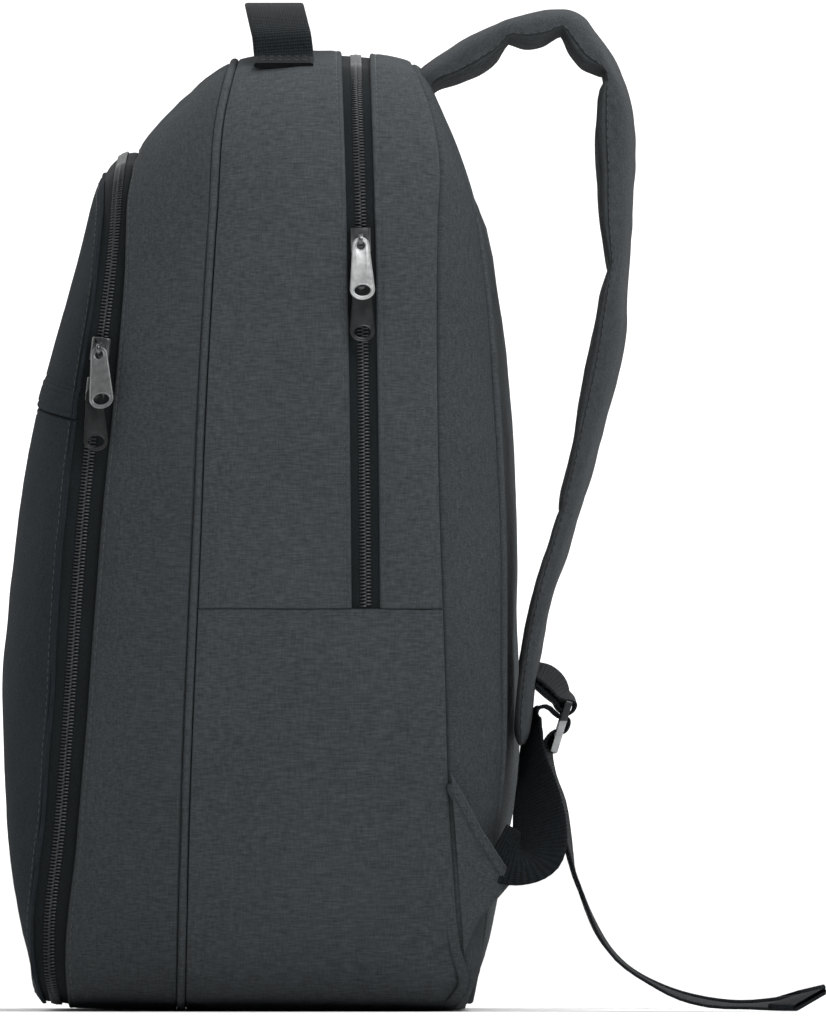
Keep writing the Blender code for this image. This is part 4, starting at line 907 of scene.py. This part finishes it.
# Shoulder straps: foam in a sleeve of the bag's cloth, sewn into the top of the back, arched up
# and down behind it. The inside of each bend is pinched into short creases.
STRAP_ROWS = (
    (0.2980, 0.9740, 0.3290, 0.9470, 0.39, 0.96), (0.3124, 0.9834, 0.3400, 0.9570, 0.39, 0.98),
    (0.3700, 1.0050, 0.3950, 0.9690, 0.39, 1.00),
    (0.4130, 1.0190, 0.4350, 0.9800, 0.40, 1.00), (0.4560, 1.0300, 0.4620, 0.9930, 0.40, 1.00),
    (0.4860, 1.0370, 0.4840, 1.0080, 0.41, 1.00), (0.5160, 1.0412, 0.5160, 1.0060, 0.41, 1.00),
    (0.5640, 1.0455, 0.5510, 1.0080, 0.42, 1.00), (0.6020, 1.0450, 0.5830, 1.0150, 0.42, 1.00),
    (0.6330, 1.0370, 0.6010, 1.0000, 0.43, 1.00), (0.6550, 1.0210, 0.6220, 0.9860, 0.43, 1.00),
    (0.6800, 1.0020, 0.6500, 0.9790, 0.44, 1.00), (0.7030, 0.9810, 0.6660, 0.9700, 0.44, 1.00),
    (0.7210, 0.9560, 0.6560, 0.9560, 0.45, 1.00), (0.7320, 0.9160, 0.6490, 0.9180, 0.46, 1.00),
    (0.7340, 0.8740, 0.6530, 0.8740, 0.47, 1.00), (0.7290, 0.8210, 0.6580, 0.8210, 0.49, 1.00),
    (0.7220, 0.7760, 0.6700, 0.7750, 0.50, 0.99), (0.7180, 0.7430, 0.6580, 0.7430, 0.51, 0.99),
    (0.7150, 0.7070, 0.6440, 0.7070, 0.52, 0.98), (0.6900, 0.6360, 0.6200, 0.6400, 0.55, 0.97),
    (0.6500, 0.5620, 0.5930, 0.5660, 0.58, 0.95), (0.6110, 0.4950, 0.5650, 0.5000, 0.61, 0.93),
    (0.5690, 0.4260, 0.5260, 0.4280, 0.64, 0.90), (0.5460, 0.3740, 0.5070, 0.3750, 0.66, 0.87),
    (0.5330, 0.3310, 0.4980, 0.3315, 0.68, 0.84), (0.5190, 0.2760, 0.4960, 0.2760, 0.69, 0.78))
STRAP_WIDTH, STRAP_FILL, STRAP_STEP = 0.056, 0.6, 0.0016
STRAP_TWIST, STRAP_END_ROUND = math.radians(3.5), 0.007
STRAP_TURN = np.linspace(0.0, math.tau, 81)
STRAP_CREASES = ((108.3, 423.0, 1.7), (131.9, 426.6, 1.6), (149.3, 410.0, 1.8), (150.6, 325.7, 1.1),
                 (131.0, 218.7, 1.2))


def padded_strap(hand):
    """Grid of points and normals of one strap, from its outer and inner line in the side view."""
    table = np.array(STRAP_ROWS)
    gap = np.linalg.norm(np.diff(table[:, :2] * (BAG_DEPTH, BAG_HEIGHT), axis=0), axis=1)[:, None]
    rows = fair_table(table, gap, [max(2, int(round(g / STRAP_STEP))) for g in gap[:, 0]])
    outer = np.column_stack((np.zeros(len(rows)), rows[:, 0] * BAG_DEPTH, rows[:, 1] * BAG_HEIGHT))
    inner = np.column_stack((np.zeros(len(rows)), rows[:, 2] * BAG_DEPTH, rows[:, 3] * BAG_HEIGHT))
    centre = (outer + inner) / 2
    centre[:, 0] = rows[:, 4] * HALF_WIDTH
    width = rows[:, 5] * STRAP_WIDTH
    twist = STRAP_TWIST * np.interp(rows[:, 1], (0.35, 0.60), (0.0, 1.0))
    seen = np.linalg.norm(outer - inner, axis=1)
    normal = (outer - inner) / seen[:, None]
    thickness = seen - width * np.sin(twist)
    left = distance_along(centre[::-1])[::-1]
    closing = np.sqrt(1 - (1 - np.clip(left / STRAP_END_ROUND, 0.04, 1.0)) ** 2)
    thickness, width = thickness * closing, width * (0.7 + 0.3 * closing)
    across = np.column_stack((np.cos(twist), -normal[:, 1:] * np.sin(twist)[:, None]))
    face = normal * np.cos(twist)[:, None] + np.outer(np.sin(twist), (1.0, 0.0, 0.0))
    c, s = np.cos(STRAP_TURN), np.sin(STRAP_TURN)
    u = np.copysign(np.abs(c) ** 0.45, c)[None] * width[:, None] / 2
    v = np.copysign(np.abs(s) ** 0.75, s)[None] * thickness[:, None] / 2
    grid = centre[:, None] + across[:, None] * u[..., None] + face[:, None] * v[..., None]
    out = unit(across[:, None] * (c * np.abs(c) ** 0.6)[None, :, None]
               + face[:, None] * s[None, :, None])
    groove = (0.0009 * np.exp(-((s + 0.30) / 0.09) ** 2)
              - 0.0006 * np.exp(-((s + 0.12) / 0.12) ** 2))
    grid = grid - out * groove[None, :, None]
    travelled = distance_along(centre)
    inner_half = np.clip((0.15 - s[None]) / 1.15, 0.0, 1.0)
    for y, z, depth in STRAP_CREASES:
        nearest = np.argmin(np.linalg.norm(inner[:, 1:] - (y * 0.001, z * 0.001), axis=1))
        away = np.abs(travelled - travelled[nearest])
        pinch = 0.001 * depth * (np.exp(-away / 0.0026)
                                 - 0.15 * np.exp(-((away - 0.008) / 0.005) ** 2))
        grid = grid + face[:, None] * (pinch[:, None] * inner_half)[..., None]
    grid = grid * (hand, 1.0, 1.0)
    out = out * (hand, 1.0, 1.0)
    grid = ripple(grid, out, 0.0009, (26.0, 34.0, 34.0), 53.0)
    grid[:, -1] = grid[:, 0]
    return (grid, out) if hand < 0 else (grid[:, ::-1], out[:, ::-1])


# The bag's cloth a little darker: painted shade for the straps' shaded sides.
shaded_strap_cloth = melange("slate_melange_strap_cloth_painted_shade", (0.0480, 0.0530, 0.0568), 0, sheen=0.02)
for side_name, hand in SIDES:
    grid, out = padded_strap(hand)
    strap = cloth_piece(f"padded_strap_{side_name}", grid, 0.0, closed=True)
    edit_all(fill_ends)
    place_piece(strap, shaded_strap_cloth, (f"shoulder_strap_{side_name}",))
    seam = int(np.argmin(np.abs(STRAP_TURN - math.radians(350))))
    seam = seam if hand < 0 else len(STRAP_TURN) - 1 - seam
    stitches(f"strap_stitches_{side_name}", grid[8:-4, seam], out[8:-4, seam], thread)

# Short webbing loop at the lower end of each padded strap: it leaves the strap's outer face,
# goes round the buckle's upper bar and back.
STRAP_END_ROUTE = (
    (96.6, 118.8, 149.0, 0.96, -0.20, -0.20), (96.6, 124.8, 146.8, 0.94, -0.24, -0.24),
    (96.6, 129.6, 142.6, 0.94, -0.24, -0.22), (96.6, 132.8, 137.8, 0.97, -0.18, -0.14),
    (96.6, 136.4, 135.6, 1.00, -0.06, -0.06), (96.6, 137.6, 134.2, 1.00, 0.00, 0.00),
    (96.6, 136.3, 130.2, 1.00, 0.00, 0.00), (96.6, 135.5, 129.7, 1.00, 0.00, 0.00),
    (96.6, 131.9, 130.8, 1.00, 0.00, 0.00), (96.6, 131.3, 132.2, 1.00, -0.06, -0.06),
    (96.6, 130.6, 136.2, 0.97, -0.18, -0.14), (96.6, 127.4, 140.8, 0.94, -0.24, -0.22),
    (96.6, 123.4, 144.4, 0.94, -0.24, -0.24), (96.6, 117.8, 146.6, 0.96, -0.20, -0.20))
LOAD_WIDTH, LOAD_THICKNESS = 0.025, 0.0013
for side_name, hand in SIDES:
    route = smooth_table(STRAP_END_ROUTE, 4) * (hand, 1.0, 1.0, hand, 1.0, 1.0)
    band_piece(f"strap_end_loop_{side_name}", route[:, :3], route[:, 3:], LOAD_WIDTH,
               LOAD_THICKNESS, webbing_finish, (f"strap_end_{side_name}",))

# Adjusting webbing: one strip on each side, from the cloth wing up through the buckle and down to
# its free end, which runs out over the floor behind the bag.
LOAD_ROUTE = (
    (135.5, 102.0, 70.2, -0.19, 0.57, -0.80), (134.7, 104.7, 68.7, -0.16, 0.56, -0.81),
    (134.1, 108.6, 66.9, 0.02, 0.52, -0.85), (133.6, 112.6, 65.6, 0.25, 0.48, -0.84),
    (132.4, 116.6, 65.4, 0.48, 0.53, -0.70),
    (130.2, 120.2, 67.0, 0.60, 0.61, -0.52), (127.2, 122.0, 70.8, 0.56, 0.76, -0.34),
    (123.6, 122.4, 76.0, 0.52, 0.84, -0.19), (119.6, 122.0, 82.5, 0.54, 0.83, -0.10),
    (115.2, 121.0, 90.0, 0.64, 0.77, -0.04), (110.7, 119.8, 98.6, 0.78, 0.63, -0.01),
    (106.4, 118.8, 106.8, 0.90, 0.44, 0.00), (102.9, 118.5, 112.5, 0.94, 0.34, 0.00),
    (100.1, 118.6, 117.2, 0.95, 0.31, 0.00), (98.0, 118.8, 122.1, 0.96, 0.27, 0.00),
    (96.6, 119.3, 126.4, 0.98, 0.20, 0.00), (96.4, 120.2, 129.7, 0.99, 0.12, 0.00),
    (96.6, 121.5, 131.9, 1.00, 0.06, 0.00), (96.6, 123.2, 132.7, 1.00, 0.00, 0.00),
    (96.6, 125.1, 132.9, 1.00, 0.00, 0.00), (96.6, 130.6, 128.7, 1.00, 0.00, 0.00),
    (96.6, 133.0, 127.9, 1.00, 0.00, 0.00), (96.6, 134.9, 126.8, 1.00, 0.00, 0.00),
    (96.6, 135.0, 125.1, 1.00, 0.00, 0.00), (96.6, 134.3, 123.0, 1.00, 0.00, 0.00),
    (96.6, 133.0, 121.4, 1.00, 0.00, 0.00), (96.6, 131.0, 121.5, 1.00, 0.00, 0.00),
    (96.6, 128.8, 122.0, 1.00, 0.00, 0.00), (96.6, 127.2, 119.6, 0.99, -0.08, 0.00),
    (96.6, 125.4, 113.3, 0.98, -0.16, 0.00))
TAIL_ROUTE = (
    (97.0, 126.9, 102.9, 0.99, -0.17, 0.00), (98.0, 130.9, 92.0, 0.99, -0.17, 0.00),
    (100.1, 134.0, 76.0, 0.99, -0.12, 0.00), (103.6, 137.0, 60.9, 1.00, 0.00, 0.00),
    (107.1, 141.1, 50.0, 1.00, 0.00, 0.00), (110.6, 144.8, 40.8, 1.00, -0.05, 0.03),
    (114.8, 149.4, 31.5, 0.99, -0.10, 0.06), (118.9, 154.3, 24.6, 0.99, -0.13, 0.08),
    (123.2, 160.0, 18.9, 0.98, -0.17, 0.10), (133.0, 173.9, 10.5, 0.96, -0.27, 0.09),
    (142.8, 189.0, 4.6, 0.90, -0.43, 0.02), (151.9, 203.0, 2.2, 0.86, -0.51, -0.03),
    (162.4, 219.8, 2.6, 0.83, -0.54, -0.11), (172.2, 233.0, 3.4, 0.81, -0.54, -0.22),
    (177.0, 239.6, 4.2, 0.80, -0.52, -0.30))
FAR_TAIL_START, FAR_TAIL_DRIFT = 0.138, 0.038
END_WIDTH, END_THICKNESS, END_OUT = 0.0258, 0.0030, 0.0009
for side_name, hand in SIDES:
    route = smooth_table(LOAD_ROUTE + TAIL_ROUTE, 3) * (hand, 1.0, 1.0, hand, 1.0, 1.0)
    if hand < 0:
        route[:, 1] += FAR_TAIL_DRIFT * np.maximum(route[:, 1] - FAR_TAIL_START, 0.0)
    strip = band_piece(f"adjusting_webbing_{side_name}", route[:, :3], route[:, 3:], LOAD_WIDTH,
                       LOAD_THICKNESS, webbing_finish, (f"lower_webbing_{side_name}",))
    end = route[-5:]
    normal = unit(np.cross(end[:, 3:], np.gradient(end[:, :3], axis=0))) * hand
    tab_end = band_piece(f"webbing_end_fold_{side_name}", end[:, :3] + normal * END_OUT,
                         end[:, 3:], END_WIDTH, END_THICKNESS, webbing_finish, ())

# Wings: a triangle of doubled cloth sewn into the back seam on each side, with the end of the
# webbing between its two layers. Its upper edge is folded and sewn with two rows of stitches.
CAST_SMOOTH = 40


def linked(name, data):
    """A new object in the scene, selected by itself and active."""
    piece = bpy.data.objects.new(name, data)
    bpy.context.scene.collection.objects.link(piece)
    bpy.ops.object.select_all(action="DESELECT")
    piece.select_set(True)
    bpy.context.view_layer.objects.active = piece
    return piece


def softened(node_name, name, width):
    """A copy of a CAD node's shape, merged and with its edges rounded."""
    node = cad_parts[node_name]
    mesh = node.data.copy()
    mesh.transform(node.matrix_world)
    copy = linked(name, mesh)
    edit_all(merge, lambda: bpy.ops.mesh.dissolve_limited(angle_limit=math.radians(1.0)))
    rounding = copy.modifiers.new("Edges", "BEVEL")
    rounding.width, rounding.segments, rounding.limit_method = width, 3, "ANGLE"
    rounding.angle_limit = math.radians(25.0)
    bpy.ops.object.modifier_apply(modifier="Edges")
    smooth_by(CAST_SMOOTH)
    return copy


def on_surface(piece, line, hand):
    """Points of a side-view line (y, z) on a piece's outer face, with the face's normals."""
    points, normals = [], []
    for y, z in line:
        found, point, normal, _ = piece.ray_cast(Vector((hand * 0.3, y, z)),
                                                 Vector((-hand, 0.0, 0.0)))
        if found:
            points.append(point[:])
            normals.append(normal[:])
    return np.array(points), np.array(normals)


HEM_LINE = np.array(((0.0840, 0.1020), (0.0903, 0.0905), (0.0965, 0.0786), (0.1037, 0.0678),
                     (0.1100, 0.0583)))
HEM_INSET = np.array((-0.0016, -0.0010))
HEM_WIDTH, HEM_THICKNESS = 0.0058, 0.0046
hem = np.column_stack([np.interp(np.linspace(0.0, 4.0, 33), np.arange(5), HEM_LINE[:, k])
                       for k in (0, 1)]) + HEM_INSET
for side_name, hand in SIDES:
    wing = place_piece(softened(f"strap_wing_{side_name}", f"cloth_wing_{side_name}", 0.0007),
                       body_cloth, (f"strap_wing_{side_name}",))
    points, normals = on_surface(wing, hem, hand)
    acrosses = np.cross(normals, unit(np.gradient(points, axis=0)))
    sunk = 0.0011 + 0.0016 * np.exp(-np.arange(len(points)) / 1.5)
    inner = points - normals * sunk[:, None]
    band_piece(f"wing_hem_{side_name}", inner, acrosses, HEM_WIDTH, HEM_THICKNESS, body_cloth,
               ())
    for row_name, shift in (("first", -0.0014), ("second", 0.0016)):
        row = inner + normals * HEM_THICKNESS / 2 + acrosses * shift
        stitches(f"wing_stitches_{row_name}_{side_name}", row, normals, thread)

# Buckles: three-bar ladder locks of moulded nylon with rounded edges, and a painted highlight in
# pale grey at the thumb end.
moulding = flecked("dark_moulded_nylon", (0.016, 0.017, 0.018), 0.42, 320.0)
highlight_nylon = flecked("nylon_painted_highlight", (0.32, 0.33, 0.34), 0.35, 320.0)
THUMB_TOP = 0.1262
for side_name, _ in SIDES:
    lock = place_piece(softened(f"ladder_lock_{side_name}", f"ladder_buckle_{side_name}", 0.0006),
                       moulding, (f"ladder_lock_{side_name}",))
    cut_level(THUMB_TOP)
    # The pale finish on the faces below the thumb top is a painted highlight.
    lock.data.materials.append(highlight_nylon)
    for polygon in lock.data.polygons:
        polygon.material_index = int(polygon.center.z < THUMB_TOP)

# Sliders and pull tabs: cast sliders with a bail, and flat tabs whose rims stand up round the
# edge and both holes.
slider_metal = flecked("black_nickel", (0.115, 0.119, 0.122), 0.30, 420.0, 0.8)
# The upper tabs' paler metals are painted highlights: the light the tabs catch where they lie on
# top of the lower sliders.
highlight_metal = flecked("nickel_painted_highlight", (0.38, 0.39, 0.39), 0.40, 380.0, 0.45)
front_highlight_metal = flecked("front_nickel_painted_highlight", (0.155, 0.162, 0.162), 0.42, 380.0, 0.4)
# The lower tabs' dark metal is painted shade: the shadow where they hang in the groove under the
# upper tabs.
shaded_metal = flecked("nickel_painted_shade", (0.022, 0.023, 0.024), 0.36, 380.0, 0.6)
TAB_LOOPS = {"edge": (0.0033, 0.0033, 0.0228, 0.0050), "eye": (0.0034, 0.0022, 0.0034, 0.0022),
             "grip": (0.0232, 0.0040, 0.0232, 0.0040)}
TAB_ROUND = {"edge": (0.0033, 0.0042), "eye": (0.0022, 0.0022), "grip": (0.0029, 0.0029)}
TAB_LENGTH, PLATE_HALF, PLATE_EDGE = 0.0270, 0.00042, 0.00016
RIM_RADIUS, RIM_LIFT = 0.00046, 0.00022


def tab_loop(name):
    """One outline of a pull tab: half an ellipse at each end, as (along, across) from its top."""
    start, half_start, end, half_end = TAB_LOOPS[name]
    top, bottom = TAB_ROUND[name]
    angles = np.linspace(0.0, math.pi, 17)
    upper = np.column_stack((start - top * np.sin(angles), half_start * np.cos(angles)))
    lower = np.column_stack((end + bottom * np.sin(angles), -half_end * np.cos(angles)))
    return np.vstack((upper, lower[1:-1] if name != "edge" else lower))


def tab_curve(name, dimensions, extrude, bevel):
    """The pull tab's three outlines as a plate (2D) or as round rims (3D)."""
    curve = bpy.data.curves.new(name, "CURVE")
    curve.dimensions = dimensions
    curve.extrude, curve.bevel_depth, curve.bevel_resolution = extrude, bevel, 2
    if dimensions == "2D":
        curve.fill_mode = "BOTH"
    for loop_name in TAB_LOOPS:
        loop = tab_loop(loop_name)
        spline = curve.splines.new("POLY")
        spline.points.add(len(loop) - 1)
        spline.points.foreach_set("co", np.column_stack(
            (loop, np.zeros(len(loop)), np.ones(len(loop)))).reshape(-1))
        spline.use_cyclic_u = True
    linked(name, curve)
    bpy.ops.object.convert(target="MESH")
    return bpy.context.active_object


def pull_tab(node_name, name):
    """A plate with an eye and a grip hole, with rims round all three, where its CAD node is."""
    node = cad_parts[node_name]
    points = np.array([(node.matrix_world @ v.co)[:] for v in node.data.vertices])
    middle = points.mean(axis=0)
    axes = np.linalg.svd(points - middle, full_matrices=False)[2]
    along = axes[0] * (-1.0 if axes[0][2] > 0 else 1.0)
    out = axes[2] * (-1.0 if axes[2][0] < 0 else 1.0)
    across = np.cross(out, along)
    places = (points - middle) @ along
    flat = (points - middle) @ out
    origin = middle + along * places.min() + out * (flat.max() + flat.min()) / 2
    plate = tab_curve(name, "2D", PLATE_HALF, PLATE_EDGE)
    rims = tab_curve(name + "_rims", "3D", 0.0, RIM_RADIUS)
    for vertex in rims.data.vertices:
        vertex.co.z += RIM_LIFT
    bpy.ops.object.select_all(action="DESELECT")
    rims.select_set(True)
    plate.select_set(True)
    bpy.context.view_layer.objects.active = plate
    bpy.ops.object.join()
    stretch = (places.max() - places.min()) / TAB_LENGTH
    local = np.array([v.co[:] for v in plate.data.vertices]) * (stretch, 1.0, 1.0)
    world = origin + local @ np.vstack((along, across, out))
    plate.data.vertices.foreach_set("co", world.reshape(-1).astype(np.float32))
    edit_all(merge, face_outwards)
    smooth_by(CAST_SMOOTH)
    return plate


# Each zip's upper tab gets a paler metal as a painted highlight, its lower tab the dark metal as
# painted shade.
for zip_name, upper_metal in (("main", highlight_metal), ("front", front_highlight_metal)):
    for level, tab_metal, tab_slot in (("upper", upper_metal, "tab_metal"),
                                       ("lower", shaded_metal, "tab_dark_metal")):
        slider, tab = f"{zip_name}_slider_{level}", f"{zip_name}_tab_{level}"
        place_piece(softened(slider, f"{zip_name}_cast_slider_{level}", 0.0007), slider_metal,
                    (slider,))
        place_piece(pull_tab(tab, f"{zip_name}_pull_tab_{level}"), tab_metal, (tab,),
                    body=f"{zip_name}_{level}_pull")
